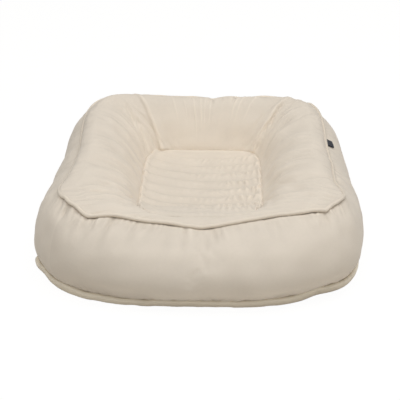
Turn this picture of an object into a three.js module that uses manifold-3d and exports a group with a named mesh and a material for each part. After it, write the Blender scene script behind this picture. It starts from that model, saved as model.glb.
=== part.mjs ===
// Infant lounger: a soft bolster all round a well with a gathered floor, in a zipped cover.
// Millimetres. +Z is up, -Y is the front. The lounger stands on its base panel at z = 0.
//
// The cover is drawn as closed outlines ("stations"), one above the other: the base seam, the
// belly of the band, the top seam, the crest of the bolster and the edge of the well's floor.
// Curves through the stations give the cloth, and every panel is cut out of that one surface.

import * as THREE from 'three';
import { mergeVertices } from 'three/addons/utils/BufferGeometryUtils.js';
import Module from 'manifold-3d';

// Stations: half width, reach to the front and to the rear, and the heights at the front's middle,
// the front corners, the sides, the rear corners and the rear's middle.
const BASE_SEAM = { halfWidth: 284, front: 268, rear: 272,
  heights: { front: 6, frontCorner: 6, side: 6, rearCorner: 6, rear: 6 },
  frontPower: 3.2, rearPower: 3.3, taperShare: 0.03, flareShare: 0.055 };
const BELLY = { halfWidth: 291, front: 300, rear: 290,
  heights: { front: 55, frontCorner: 57, side: 58, rearCorner: 60, rear: 60 },
  frontPower: 2.6, rearPower: 4.2, taperShare: 0.105, flareShare: 0.12 };
const TOP_SEAM = { halfWidth: 238, front: 211, rear: 248,
  heights: { front: 125, frontCorner: 148, side: 145, rearCorner: 170, rear: 165 },
  frontPower: 4.7, rearPower: 4.8, taperShare: 0.044, flareShare: 0.09 };
const CREST = { halfWidth: 207, front: 203, rear: 225,
  heights: { front: 130, frontCorner: 152, side: 171, rearCorner: 188, rear: 181 },
  frontPower: 4, rearPower: 5, taperShare: -0.015, flareShare: 0 };
const FLOOR_EDGE = { halfWidth: 116, front: 197, rear: 160,
  heights: { front: 0, frontCorner: 0, side: 0, rearCorner: 0, rear: 0 },
  frontPower: 4.3, rearPower: 6, taperShare: 0, flareShare: 0 };
// The pit is where the bolster's filling stops and the centre pad lies.
const PIT = { halfWidth: 110, front: 50, rear: 153,
  heights: { front: 0, frontCorner: 0, side: 0, rearCorner: 0, rear: 0 },
  frontPower: 6, rearPower: 6, taperShare: 0, flareShare: 0 };

// Where a seam's panels have their corners, the seam stands out from its smooth outline: outwards
// and down by these lengths, at a share of the way round from the front left corner. The top seam
// has its front middle, two pulled corners each side and the slack between them; the bottom welt
// has its two front tips. The belly is drawn in on the left and fuller on the right.
const TOP_TIES = [
  { placeShare: 0.034, reachShare: 0.014, out: 9, down: 7 },
  { placeShare: 0.129, reachShare: 0.019, out: 5, down: 3.5 },
  { placeShare: 0.19, reachShare: 0.038, out: -7, down: -4 },
  { placeShare: 0.238, reachShare: 0.0125, out: 4, down: 3 },
  { placeShare: 0.2875, reachShare: 0.0225, out: 9, down: 0 },
  { placeShare: 0.3225, reachShare: 0.015, out: -3, down: 0 },
  { placeShare: 0.37, reachShare: 0.0225, out: 5, down: 0 },
  { placeShare: 0.855, reachShare: 0.04, out: -5, down: 0 },
  { placeShare: 0.95, reachShare: 0.0175, out: 3, down: 0 },
  { placeShare: 0.9875, reachShare: 0.0125, out: -4, down: -1 },
];
const BASE_TIES = [
  { placeShare: 0.225, reachShare: 0.03, out: -9, down: 0 },
  { placeShare: 0.295, reachShare: 0.0125, out: 5, down: 0 },
  { placeShare: 0.943, reachShare: 0.0125, out: 11, down: 0 },
];
const BELLY_TIES = [
  { placeShare: 0.415, reachShare: 0.03, out: 3.5, down: 0 },
  { placeShare: 0.835, reachShare: 0.03, out: -6, down: 0 },
];

// At the rear corners the side walls' seams lean towards the rear's middle: there the well's
// columns are moved along the ring by these shares, at the crest and at the floor's edge.
const LEAN_REACH_SHARE = 0.09;
const CREST_LEAN = { rightShare: 0.0175, leftShare: 0.045 };
const FLOOR_LEAN = { rightShare: 0.005, leftShare: 0.035 };

// The well's floor is level, then climbs over the front bolster.
const WELL_FLOOR_Z = 87;
const FRONT_RIM_Z = 131;
const CLIMB_START_Y = -48;
const CLIMB_END_Y = -175;

// The band's shoulder and the well wall's slope, as shares of the way between their two stations.
const SHOULDER_PLAN_SHARE = 0.68;
const SHOULDER_HEIGHT_SHARE = 0.65;
const SLOPE_PLAN_SHARE = 0.42;
const SLOPE_HEIGHT_SHARE = 0.6;

// Cloth, seams and piping
const CLOTH = 2;
const SEAM_GAP = 0.3;
const TOP_CORD_RADIUS = 3.8;
const BOTTOM_CORD_RADIUS = 5;
const CORD_SIDES = 6;

// Gathers of the four walls, and the gathered floor
const GATHER_RISE = 4.5;
const GATHER_COLUMNS = 3;
const GATHER_SHARES = { start: 0.14, full: 0.62, seam: 0.45 };
const FRONT_PUCKER_DEPTH = 2.4;
const SMOCK_RISE = 5.5;
const SMOCK_SHARES = { fineValley: 0.4, bubble: 0.28 };
const SMOCK_BOW = 16;
const SMOCK_START = 8;

// Inner cushion
const TICKING = 0.8;
const TICKING_EASE = 3;
const FILL_EASE = 3;
const CLIMB_EASE = 3;
const PAD_EASE = 0.6;

// Zip across the rear of the band
const ZIP_Z = 60;
const ZIP_PLANE_Y = 280;
const ZIP_SLOT = 16;
const TAPE = 0.8;
const TAPE_END_EASE = 1;
const COIL_WIDTH = 2.4;
const COIL_HEIGHT = 2.8;
const COIL_SLIT = 1.1;
const STOP_LENGTH = 4;
const STOP_HEIGHT = 3.6;
const SLIDER_LENGTH = 14;
const SLIDER_WIDTH = 9.4;
const SLIDER_WALL = 1.2;
const SLIDER_NECK = 0.5;
const CROWN_LENGTH = 10;
const CROWN_WIDTH = 2.4;
const CROWN_BAR = 1.2;
const PULL_LENGTH = 28;
const PULL_WIDTH = 7.6;
const PULL_THICKNESS = 1.2;
const PULL_RAIL = 1.8;
const RUNNING_GAP = 0.3;
const PARKING_GAP = 0.6;

// Folded tab in the right top seam
const TAB_WIDTH = 20;
const TAB_LENGTH = 16;
const TAB_PLY = 0.8;
const TAB_FOLD_GAP = 0.4;
const TAB_Y = 76;
const TAB_CLEARANCE = 0.5;

// Counts: columns along each of the four sides, and rows up the band and down the wall
const SIDE_COLUMNS = 24;
const BAND_LOWER_ROWS = 2;
const BAND_UPPER_ROWS = 3;
const WALL_ROW_SHARES = [0, 0.12, 0.24, 0.4, 0.56, 0.72, 0.87, 1];
const SMOCK_ROWS = 48;
const SMOCK_COLUMNS = 12;
const REAR_BAND_COLUMNS = 14;
const INNER_STEP = 2;

const COLUMNS = 4 * SIDE_COLUMNS;
const V = (x, y, z) => new THREE.Vector3(x, y, z);
const smooth = (a, b, x) => THREE.MathUtils.smoothstep(x, a, b);

// A point of the unit square's border: the front from left to right, then on round the right.
function squarePoint(column) {
  const side = Math.floor(column / SIDE_COLUMNS) % 4;
  const t = 2 * (column % SIDE_COLUMNS) / SIDE_COLUMNS - 1;
  return [[t, -1], [1, t], [-t, 1], [-1, -t]][side];
}

// Height of the well's floor over a place y: level, then a smooth climb to the front rim
function floorHeight(y) {
  return WELL_FLOOR_Z + (FRONT_RIM_Z - WELL_FLOOR_Z) * smooth(-CLIMB_START_Y, -CLIMB_END_Y, -y);
}

// Heights round a station: a closed curve through its eight values
function stationHeight(heights, column) {
  const { front, frontCorner, side, rearCorner, rear } = heights;
  const values = [frontCorner, front, frontCorner, side, rearCorner, rear, rearCorner, side];
  const s = column * values.length / COLUMNS;
  const i = Math.floor(s);
  const f = s - i;
  const at = (k) => values[(k + values.length) % values.length];
  const slope = (k) => (at(k + 1) - at(k - 1)) / 2;
  const [h00, h10] = [(1 + 2 * f) * (1 - f) ** 2, f * (1 - f) ** 2];
  const [h01, h11] = [f * f * (3 - 2 * f), f * f * (f - 1)];
  return h00 * at(i) + h10 * slope(i) + h01 * at(i + 1) + h11 * slope(i + 1);
}

// One point of a station: a superellipse whose power changes from front to rear, narrowed to the
// rear and flared at both ends
function stationPoint(station, column) {
  const [u, w] = squarePoint(column);
  const power = THREE.MathUtils.lerp(station.frontPower, station.rearPower, smooth(-0.3, 0.3, w));
  const s = (Math.abs(u) ** power + Math.abs(w) ** power) ** (-1 / power);
  const reach = w * s;
  const narrowing = station.taperShare * reach - station.flareShare * reach * reach;
  const x = station.halfWidth * u * s * (1 - narrowing);
  const y = (reach < 0 ? station.front : station.rear) * reach;
  return V(x, y, stationHeight(station.heights, column));
}

function floorEdgePoint(station, column) {
  const p = stationPoint(station, column);
  p.z = floorHeight(p.y);
  return p;
}

// A point part of the way between two others, with its own share in plan and in height
function between(a, b, planShare, heightShare) {
  const p = a.clone().lerp(b, planShare);
  p.z = THREE.MathUtils.lerp(a.z, b.z, heightShare);
  return p;
}

function curve(points) {
  return new THREE.CatmullRomCurve3(points, false, 'centripetal');
}

// Share of a rising curve's length at which it reaches a height
function shareAtHeight(line, z) {
  let [low, high] = [0, 1];
  for (let i = 0; i < 30; i++) {
    const middle = (low + high) / 2;
    if (line.getPointAt(middle).z < z) low = middle; else high = middle;
  }
  return (low + high) / 2;
}

// A seam's own line: its station, moved at the ties. Each tie fades over its reach.
function tiedPoint(station, ties, column) {
  const p = stationPoint(station, column);
  const ring = (c) => stationPoint(station, (c + COLUMNS) % COLUMNS);
  const along = ring(column + 1).sub(ring(column - 1));
  const out = V(along.y, -along.x, 0).normalize();
  for (const tie of ties) {
    let way = Math.abs(column / COLUMNS - tie.placeShare);
    way = Math.min(way, 1 - way);
    const share = Math.exp(-((way / tie.reachShare) ** 1.5));
    p.addScaledVector(out, tie.out * share);
    p.z -= tie.down * share;
  }
  return p;
}

const baseSeam = (c) => tiedPoint(BASE_SEAM, BASE_TIES, c);
const topSeam = (c) => tiedPoint(TOP_SEAM, TOP_TIES, c);

// A point beside a seam, square to it, at a distance towards another point of the cloth
function beside(seam, column, target, distance) {
  const ring = (c) => seam((c + COLUMNS) % COLUMNS);
  const along = ring(column + 1).sub(ring(column - 1)).normalize();
  const origin = ring(column);
  const way = target.clone().sub(origin);
  way.addScaledVector(along, -way.dot(along));
  return origin.addScaledVector(way.normalize(), distance);
}

// A column moved along the ring near the two rear corners
function leaned(column, lean) {
  const bump = (corner) => Math.exp(-(((column / COLUMNS - corner) / LEAN_REACH_SHARE) ** 2));
  return column + COLUMNS * (lean.rightShare * bump(1 / 2) - lean.leftShare * bump(3 / 4));
}

const floorEdge = (c) => floorEdgePoint(FLOOR_EDGE, leaned(c, FLOOR_LEAN));

// The band's rows in one column: from the bottom cord over the zip's slot to the top cord
function bandColumn(column) {
  const belly = tiedPoint(BELLY, BELLY_TIES, column);
  const shoulder = between(topSeam(column), belly, SHOULDER_PLAN_SHARE, 1 - SHOULDER_HEIGHT_SHARE);
  const start = beside(baseSeam, column, belly, BOTTOM_CORD_RADIUS + SEAM_GAP);
  const end = beside(topSeam, column, shoulder, TOP_CORD_RADIUS + SEAM_GAP);
  const line = curve([start, belly, shoulder, end]);
  const slotLow = shareAtHeight(line, ZIP_Z - ZIP_SLOT / 2);
  const slotHigh = shareAtHeight(line, ZIP_Z + ZIP_SLOT / 2);
  const shares = [];
  for (let i = 0; i <= BAND_LOWER_ROWS; i++) shares.push(slotLow * i / BAND_LOWER_ROWS);
  for (let i = 0; i <= BAND_UPPER_ROWS; i++) {
    shares.push(THREE.MathUtils.lerp(slotHigh, 1, i / BAND_UPPER_ROWS));
  }
  return shares.map((share) => {
    const p = line.getPointAt(share);
    p.y = Math.min(p.y, ZIP_PLANE_Y);     // the zip holds the middle of the rear flat
    return p;
  });
}

// The wall's rows in one column: from the top cord over the crest and down to the floor's edge
function wallColumn(column, upper, edge) {
  const crest = stationPoint(CREST, upper);
  const slope = between(edge(column), crest, SLOPE_PLAN_SHARE, SLOPE_HEIGHT_SHARE);
  const start = beside(topSeam, upper, crest, TOP_CORD_RADIUS + SEAM_GAP);
  const end = beside(edge, column, slope, SEAM_GAP / 2);
  const line = curve([start, crest, slope, end]);
  return WALL_ROW_SHARES.map((share) => line.getPointAt(share));
}

// Turns a list of columns into rows of points
function toRows(columns) {
  return columns[0].map((_, r) => columns.map((column) => column[r]));
}

// Outward normals of a grid that closes round its columns, from the differences to its neighbours
function ringNormals(rows) {
  return rows.map((row, r) => row.map((_, c) => {
    const along = row[(c + 1) % row.length].clone().sub(row[(c + row.length - 1) % row.length]);
    const up = rows[Math.min(r + 1, rows.length - 1)][c].clone().sub(rows[Math.max(r - 1, 0)][c]);
    return along.cross(up).normalize();
  }));
}

const floorNormal = (y) => {
  const step = SEAM_GAP;
  return V(0, (floorHeight(y - step) - floorHeight(y + step)) / (2 * step), 1).normalize();
};

const allColumns = Array.from({ length: COLUMNS }, (_, c) => c);
const bandRows = toRows(allColumns.map(bandColumn));
const bandNormals = ringNormals(bandRows);
// The two rows beside the zip's slot lean nowhere, so that the slot's edges are square.
[BAND_LOWER_ROWS, BAND_LOWER_ROWS + 1].forEach((r) => bandNormals[r].forEach((n) => n.setZ(0).normalize()));
const wallRows = toRows(allColumns.map((c) => wallColumn(c, leaned(c, CREST_LEAN), floorEdge)));
const wallNormals = ringNormals(wallRows);
// The inner cushion has no seams there, so its columns stay where they are.
const straightWallRows = toRows(allColumns.map((c) => wallColumn(c, c, (k) => floorEdgePoint(FLOOR_EDGE, k))));
const straightWallNormals = ringNormals(straightWallRows);
// At the floor's edge wall and floor share one normal, so that their edges stay a seam gap apart.
const lastWallRow = wallRows.length - 1;
[[wallRows, wallNormals], [straightWallRows, straightWallNormals]].forEach(([rows, normals]) => {
  normals[lastWallRow].forEach((n, c) => n.add(floorNormal(rows[lastWallRow][c].y)).normalize());
});

// Collects triangles and closes them into one geometry, without those that have no area
class Faces {
  constructor() { this.points = []; }
  triangle(a, b, c) { this.points.push(a.x, a.y, a.z, b.x, b.y, b.z, c.x, c.y, c.z); }
  quad(a, b, c, d) { this.triangle(a, b, c); this.triangle(a, c, d); }
  // strip between two lines of points that may have different counts
  strip(low, high) {
    let [i, j] = [0, 0];
    while (i < low.length - 1 || j < high.length - 1) {
      const stepLow = j === high.length - 1
        || (i < low.length - 1 && (i + 1) / (low.length - 1) <= (j + 1) / (high.length - 1));
      if (stepLow) this.triangle(low[i], low[++i], high[j]);
      else this.triangle(low[i], high[j + 1], high[j++]);
    }
  }
  geometry() {
    const soup = new THREE.BufferGeometry();
    soup.setAttribute('position', new THREE.Float32BufferAttribute(this.points, 3));
    const merged = mergeVertices(soup, 1e-3);
    const index = Array.from(merged.index.array);
    const kept = [];
    for (let i = 0; i < index.length; i += 3) {
      const [a, b, c] = index.slice(i, i + 3);
      if (a !== b && b !== c && c !== a) kept.push(a, b, c);
    }
    merged.setIndex(kept);
    merged.computeVertexNormals();
    return merged;
  }
}

// A sheet of cloth with open edges: an outer and an inner grid, joined along all four edges
function sheetGeometry(outer, inner) {
  const faces = new Faces();
  const [rows, columns] = [outer.length, outer[0].length];
  for (let r = 0; r < rows - 1; r++) {
    for (let c = 0; c < columns - 1; c++) {
      faces.quad(outer[r][c], outer[r][c + 1], outer[r + 1][c + 1], outer[r + 1][c]);
      faces.quad(inner[r][c], inner[r + 1][c], inner[r + 1][c + 1], inner[r][c + 1]);
    }
    faces.quad(outer[r][0], outer[r + 1][0], inner[r + 1][0], inner[r][0]);
    faces.quad(outer[r][columns - 1], inner[r][columns - 1], inner[r + 1][columns - 1], outer[r + 1][columns - 1]);
  }
  for (let c = 0; c < columns - 1; c++) {
    faces.quad(outer[0][c], inner[0][c], inner[0][c + 1], outer[0][c + 1]);
    faces.quad(outer[rows - 1][c], outer[rows - 1][c + 1], inner[rows - 1][c + 1], inner[rows - 1][c]);
  }
  return faces.geometry();
}

// A closed tube or ring: every row is one ring of points, and the last row joins the first.
function ringGeometry(rows) {
  const faces = new Faces();
  rows.forEach((row, r) => {
    const next = rows[(r + 1) % rows.length];
    row.forEach((p, c) => {
      const d = (c + 1) % row.length;
      faces.quad(p, row[d], next[d], next[c]);
    });
  });
  return faces.geometry();
}

// Shifts a grid's first and last column towards its inside, to leave half a seam gap there
function trimEnds(rows) {
  return rows.map((row) => {
    const trimmed = row.map((p) => p.clone());
    const pull = (end, neighbour) => {
      const way = row[neighbour].clone().sub(row[end]).setLength(SEAM_GAP / 2);
      trimmed[end].add(way);
    };
    pull(0, 1);
    pull(row.length - 1, row.length - 2);
    return trimmed;
  });
}

// Cuts a panel out of a ring of rows: from one column to another, with the cloth's thickness
function panel(rows, normals, firstRow, lastRow, firstColumn, lastColumn, rise) {
  const span = Array.from({ length: lastColumn - firstColumn + 1 }, (_, i) => (firstColumn + i) % COLUMNS);
  const pick = (grid) => grid.slice(firstRow, lastRow + 1).map((row) => span.map((c) => row[c]));
  const [points, directions] = [trimEnds(pick(rows)), pick(normals)];
  const lifted = (extra) => points.map((row, r) => row.map((p, c) =>
    p.clone().addScaledVector(directions[r][c], rise(firstRow + r, span[c]) + extra)));
  return sheetGeometry(lifted(0), lifted(-CLOTH));
}

// Gathers: two columns out of three stand proud of the third, most of all low down in the well
function gather(row, column) {
  const share = WALL_ROW_SHARES[row];
  const ridge = (1 - Math.cos(2 * Math.PI * column / GATHER_COLUMNS)) / 2;
  const grown = smooth(GATHER_SHARES.start, GATHER_SHARES.full, share);
  const seam = THREE.MathUtils.lerp(1, GATHER_SHARES.seam, smooth(GATHER_SHARES.full, 1, share));
  return GATHER_RISE * ridge * grown * seam;
}

// Short puckers under the top seam: every other column of the band is drawn in near its edge
function pucker(row, column) {
  const lastRow = bandRows.length - 1;
  return row === lastRow - 1 && column % 2 === 1 ? FRONT_PUCKER_DEPTH : 0;
}

// Cord in a seam: a ring of small sections round a closed line of points
function cordGeometry(points, radius) {
  const sections = points.map((p, c) => {
    const next = points[(c + 1) % points.length];
    const before = points[(c + points.length - 1) % points.length];
    const along = next.clone().sub(before).normalize();
    const out = along.clone().cross(V(0, 0, 1)).normalize();
    const up = out.clone().cross(along).normalize();
    return Array.from({ length: CORD_SIDES }, (_, i) => {
      const a = 2 * Math.PI * (i + 1 / 2) / CORD_SIDES;
      return p.clone().addScaledVector(out, radius * Math.cos(a)).addScaledVector(up, radius * Math.sin(a));
    });
  });
  return ringGeometry(toRows(sections));
}

// Flat panel with the outline of a seam, drawn in by a distance
function plateGeometry(seam, inset, bottom, thickness) {
  const ring = allColumns.map(seam);
  const shape = new THREE.Shape(ring.map((p) => {
    const inward = V(p.x, p.y, 0).setLength(inset);
    return new THREE.Vector2(p.x - inward.x, p.y - inward.y);
  }));
  const plate = new THREE.ExtrudeGeometry(shape, { depth: thickness, bevelEnabled: false });
  plate.translate(0, 0, bottom);
  return plate;
}

// Floor of the well. Its border is the floor edge; a patch between the four border lines gives the
// cloth, rows bow to the front, and rows of small bubbles stand on it in brick order. The bubbles
// grow over their start length from the border inwards.
function wellFloorGeometry() {
  const border = Array.from({ length: 4 * COLUMNS }, (_, i) => floorEdge(i / 4));
  const grown = (point) => Math.min(1, Math.min(...border.map((e) =>
    Math.hypot(e.x - point.x, e.y - point.y))) / SMOCK_START);
  const corner = [0, 1, 2, 3].map((k) => floorEdge(k * SIDE_COLUMNS));
  const place = (p, q) => {
    const [a, b] = [(p + 1) / 2, (q + 1) / 2];
    const front = floorEdge(a * SIDE_COLUMNS);
    const right = floorEdge(SIDE_COLUMNS * (1 + b));
    const rear = floorEdge(SIDE_COLUMNS * (3 - a));
    const left = floorEdge((SIDE_COLUMNS * (4 - b)) % COLUMNS);
    const point = V(0, 0, 0);
    const add = (v, share) => point.addScaledVector(v, share);
    add(front, 1 - b); add(rear, b); add(left, 1 - a); add(right, a);
    add(corner[0], -(1 - a) * (1 - b)); add(corner[1], -a * (1 - b));
    add(corner[2], -a * b); add(corner[3], -(1 - a) * b);
    point.y -= SMOCK_BOW * (1 - p * p) * (1 - q * q);
    point.z = floorHeight(point.y);
    return point;
  };
  const inset = (point, p, q) => {
    const inward = V(p, q, 0).multiplyScalar(-SEAM_GAP / 2);
    return Math.max(Math.abs(p), Math.abs(q)) === 1 ? point.add(inward) : point;
  };
  const topRows = [];
  const lowRows = [];
  for (let r = 0; r <= SMOCK_ROWS; r++) {
    const q = 2 * r / SMOCK_ROWS - 1;
    const row = [];
    const under = [];
    for (let c = 0; c <= SMOCK_COLUMNS; c++) {
      const p = 2 * c / SMOCK_COLUMNS - 1;
      const point = inset(place(p, q), p, q);
      const rim = Math.abs(p) === 1 || Math.abs(q) === 1;
      const columnShare = 1 - SMOCK_SHARES.bubble * ((c + Math.floor(r / 2)) % 2);
      const rowShare = r % 2 === 1 ? 1 : (r % 4 === 0 ? 0 : SMOCK_SHARES.fineValley);
      const normal = floorNormal(point.y);
      if (rim) {
        const index = Math.abs(q) === 1
          ? (q < 0 ? c * SIDE_COLUMNS / SMOCK_COLUMNS : SIDE_COLUMNS * 3 - c * SIDE_COLUMNS / SMOCK_COLUMNS)
          : (p > 0 ? SIDE_COLUMNS + (q + 1) * SIDE_COLUMNS / 2 : COLUMNS - (q + 1) * SIDE_COLUMNS / 2);
        const near = Math.round(index) % COLUMNS;
        normal.copy(wallNormals[lastWallRow][near]);
      }
      const rise = rim ? 0 : SMOCK_RISE * rowShare * columnShare * grown(point);
      row.push(point.clone().addScaledVector(normal, rise));
      if (rim || c === SMOCK_COLUMNS / 2) under.push(point.clone().addScaledVector(normal, -CLOTH));
    }
    topRows.push(row);
    lowRows.push(under);
  }
  const faces = new Faces();
  for (let r = 0; r < SMOCK_ROWS; r++) {
    faces.strip(topRows[r], topRows[r + 1]);
    faces.strip([...lowRows[r]].reverse(), [...lowRows[r + 1]].reverse());
    const [left, right] = [0, SMOCK_COLUMNS];
    const lowRight = (k) => lowRows[k][lowRows[k].length - 1];
    faces.quad(topRows[r][left], topRows[r + 1][left], lowRows[r + 1][0], lowRows[r][0]);
    faces.quad(topRows[r + 1][right], topRows[r][right], lowRight(r), lowRight(r + 1));
  }
  for (let c = 0; c < SMOCK_COLUMNS; c++) {
    faces.quad(topRows[0][c + 1], topRows[0][c], lowRows[0][c], lowRows[0][c + 1]);
    const n = SMOCK_ROWS;
    faces.quad(topRows[n][c], topRows[n][c + 1], lowRows[n][c + 1], lowRows[n][c]);
  }
  return faces.geometry();
}

// The inner cushion follows the cover's surface at a depth. Its rows run up the band, over the
// crest, down the wall and over the floor to the pit.
const coverDepth = CLOTH + TICKING_EASE;
const tapeY = ZIP_PLANE_Y - CLOTH / 2;
const zipBackY = tapeY - COIL_HEIGHT / 2 - RUNNING_GAP - SLIDER_WALL;
const tickingBottom = CLOTH + SEAM_GAP;
const innerBottom = tickingBottom + TICKING + SEAM_GAP;
const innerColumns = allColumns.filter((c) => c % INNER_STEP === 0);

function innerRows(depth, rearLimit) {
  const sink = (rows, normals, r) => innerColumns.map((c) => {
    const p = rows[r][c].clone().addScaledVector(normals[r][c], -depth);
    p.y = Math.min(p.y, rearLimit);
    p.z = Math.max(p.z, innerBottom);
    return p;
  });
  const foot = innerColumns.map((c) => {
    const p = baseSeam(c);
    const inward = V(p.x, p.y, 0).setLength(BOTTOM_CORD_RADIUS + depth);
    return V(p.x - inward.x, Math.min(p.y - inward.y, rearLimit), innerBottom);
  });
  const band = [1, 3, 4, 5, 6].map((r) => sink(bandRows, bandNormals, r));
  const wall = [2, 4, 6, lastWallRow].map((r) => sink(straightWallRows, straightWallNormals, r));
  const toPit = (share) => innerColumns.map((c) => {
    const p = stationPoint(FLOOR_EDGE, c).lerp(stationPoint(PIT, c), share);
    p.z = floorHeight(p.y);
    return p.addScaledVector(floorNormal(p.y), -depth - CLIMB_EASE);
  });
  return { foot, band, wall, toPit };
}

function tickingGeometry() {
  const layer = (depth, rearLimit) => {
    const { foot, band, wall, toPit } = innerRows(depth, rearLimit);
    const centre = V(0, (PIT.rear - PIT.front) / 2, WELL_FLOOR_Z - depth - CLIMB_EASE);
    return [foot, ...band, ...wall, toPit(1 / 3), toPit(2 / 3), toPit(1), innerColumns.map(() => centre)];
  };
  const outer = layer(coverDepth, zipBackY - RUNNING_GAP);
  const inner = layer(coverDepth + TICKING, zipBackY - RUNNING_GAP - TICKING);
  const faces = new Faces();
  const n = innerColumns.length;
  for (let r = 0; r < outer.length - 1; r++) {
    for (let c = 0; c < n; c++) {
      const d = (c + 1) % n;
      faces.quad(outer[r][c], outer[r][d], outer[r + 1][d], outer[r + 1][c]);
      faces.quad(inner[r][c], inner[r + 1][c], inner[r + 1][d], inner[r][d]);
    }
  }
  for (let c = 0; c < n; c++) {
    const d = (c + 1) % n;
    faces.quad(outer[0][c], inner[0][c], inner[0][d], outer[0][d]);
  }
  return faces.geometry();
}

function bolsterFillGeometry() {
  const depth = coverDepth + TICKING + FILL_EASE;
  const { foot, band, wall, toPit } = innerRows(depth, zipBackY - RUNNING_GAP - TICKING - SEAM_GAP);
  const pitTop = toPit(1);
  const pitFoot = pitTop.map((p) => V(p.x, p.y, innerBottom));
  return ringGeometry([foot, ...band, ...wall, toPit(1 / 3), toPit(2 / 3), pitTop, pitFoot]);
}

function centrePadGeometry() {
  const top = WELL_FLOOR_Z - coverDepth - TICKING - FILL_EASE - CLIMB_EASE;
  const outline = innerColumns.map((c) => {
    const p = stationPoint(PIT, c);
    const inward = V(p.x, p.y, 0).setLength(PAD_EASE);
    return new THREE.Vector2(p.x - inward.x, p.y - inward.y);
  });
  const pad = new THREE.ExtrudeGeometry(new THREE.Shape(outline), { depth: top - innerBottom, bevelEnabled: false });
  pad.translate(0, 0, innerBottom);
  return pad;
}

// Zip: two tapes behind the slot, two coils, a stop at each end, a slider and its pull
const zipEnds = [-1, 1].flatMap((end) => [0, 1].map((row) =>
  Math.abs(bandRows[BAND_LOWER_ROWS + row][(SIDE_COLUMNS * 5 + end * REAR_BAND_COLUMNS) / 2].x)));
const zipHalf = Math.min(...zipEnds);
const tapeLength = 2 * (zipHalf - TAPE_END_EASE);
const coilOuter = COIL_SLIT / 2 + COIL_WIDTH;
const coilLength = tapeLength - 2 * (STOP_LENGTH + SEAM_GAP);

function boxAt(x, y, z, place) {
  return new THREE.BoxGeometry(x, y, z).translate(place.x, place.y, place.z);
}

function tapeGeometry(side) {
  const [low, high] = [coilOuter + RUNNING_GAP, ZIP_SLOT / 2 - SEAM_GAP];
  return boxAt(tapeLength, TAPE, high - low, V(0, tapeY, ZIP_Z + side * (low + high) / 2));
}

function coilGeometry(side) {
  const coil = new THREE.CylinderGeometry(COIL_HEIGHT / 2, COIL_HEIGHT / 2, coilLength, 8);
  coil.rotateY(Math.PI / 8).rotateZ(Math.PI / 2);
  const across = COIL_WIDTH / COIL_HEIGHT / Math.cos(Math.PI / 8);
  coil.scale(1, 1, across).translate(0, tapeY, ZIP_Z + side * (coilOuter + COIL_SLIT / 2) / 2);
  return coil;
}

function stopGeometry(side) {
  const x = side * (tapeLength - STOP_LENGTH) / 2;
  return boxAt(STOP_LENGTH, STOP_HEIGHT, 2 * coilOuter, V(x, tapeY, ZIP_Z));
}

const wasm = await Module();
wasm.setup();

function toManifold(geometry) {
  const bare = geometry.clone();
  ['normal', 'uv'].forEach((name) => bare.deleteAttribute(name));
  const merged = mergeVertices(bare);
  return new wasm.Manifold(new wasm.Mesh({
    numProp: 3,
    vertProperties: new Float32Array(merged.attributes.position.array),
    triVerts: new Uint32Array(merged.index.array),
  }));
}

function fromManifold(solid) {
  const mesh = solid.getMesh();
  const geometry = new THREE.BufferGeometry();
  geometry.setAttribute('position', new THREE.BufferAttribute(mesh.vertProperties, 3));
  geometry.setIndex(new THREE.BufferAttribute(mesh.triVerts, 1));
  geometry.computeVertexNormals();
  return geometry;
}

const plateOut = COIL_HEIGHT / 2 + RUNNING_GAP;
const sliderTop = plateOut + SLIDER_WALL;
const pullAxis = sliderTop + RUNNING_GAP + PULL_THICKNESS / 2;
const crownOpening = 2 * RUNNING_GAP + PULL_THICKNESS;

// The slider's section: two plates, a neck between the coils, and flanges that leave room for tape
function sliderGeometry() {
  const half = SLIDER_WIDTH / 2;
  const flange = half - SLIDER_WALL;
  const tapeRoom = TAPE / 2 + RUNNING_GAP;
  const neck = SLIDER_NECK / 2;
  const quarter = [[neck, plateOut], [flange, plateOut], [flange, tapeRoom], [half, tapeRoom], [half, sliderTop]];
  const mirrored = quarter.map(([z, y]) => [z, -y]).reverse();
  const right = [...mirrored, ...quarter];
  const left = right.map(([z, y]) => [-z, y]).reverse();
  const section = new THREE.Shape([...right, ...left].map(([z, y]) => new THREE.Vector2(z, y)));
  const body = new THREE.ExtrudeGeometry(section, { depth: SLIDER_LENGTH, bevelEnabled: false });
  body.translate(0, 0, -SLIDER_LENGTH / 2).rotateY(Math.PI / 2);
  const arch = new THREE.Shape();
  const [out, rise] = [CROWN_LENGTH / 2, crownOpening + CROWN_BAR];
  arch.moveTo(-out, -SLIDER_WALL / 2);
  arch.lineTo(out, -SLIDER_WALL / 2);
  arch.lineTo(out, rise - CROWN_BAR);
  arch.lineTo(out - CROWN_BAR, rise);
  arch.lineTo(CROWN_BAR - out, rise);
  arch.lineTo(-out, rise - CROWN_BAR);
  const hole = new THREE.Path();
  const inside = out - CROWN_BAR - RUNNING_GAP;
  hole.moveTo(-inside, 0);
  hole.lineTo(-inside, crownOpening);
  hole.lineTo(inside, crownOpening);
  hole.lineTo(inside, 0);
  arch.holes.push(hole);
  const crown = new THREE.ExtrudeGeometry(arch, { depth: CROWN_WIDTH, bevelEnabled: false });
  crown.translate(0, sliderTop, -CROWN_WIDTH / 2);
  return fromManifold(toManifold(body).add(toManifold(crown)));
}

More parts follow.
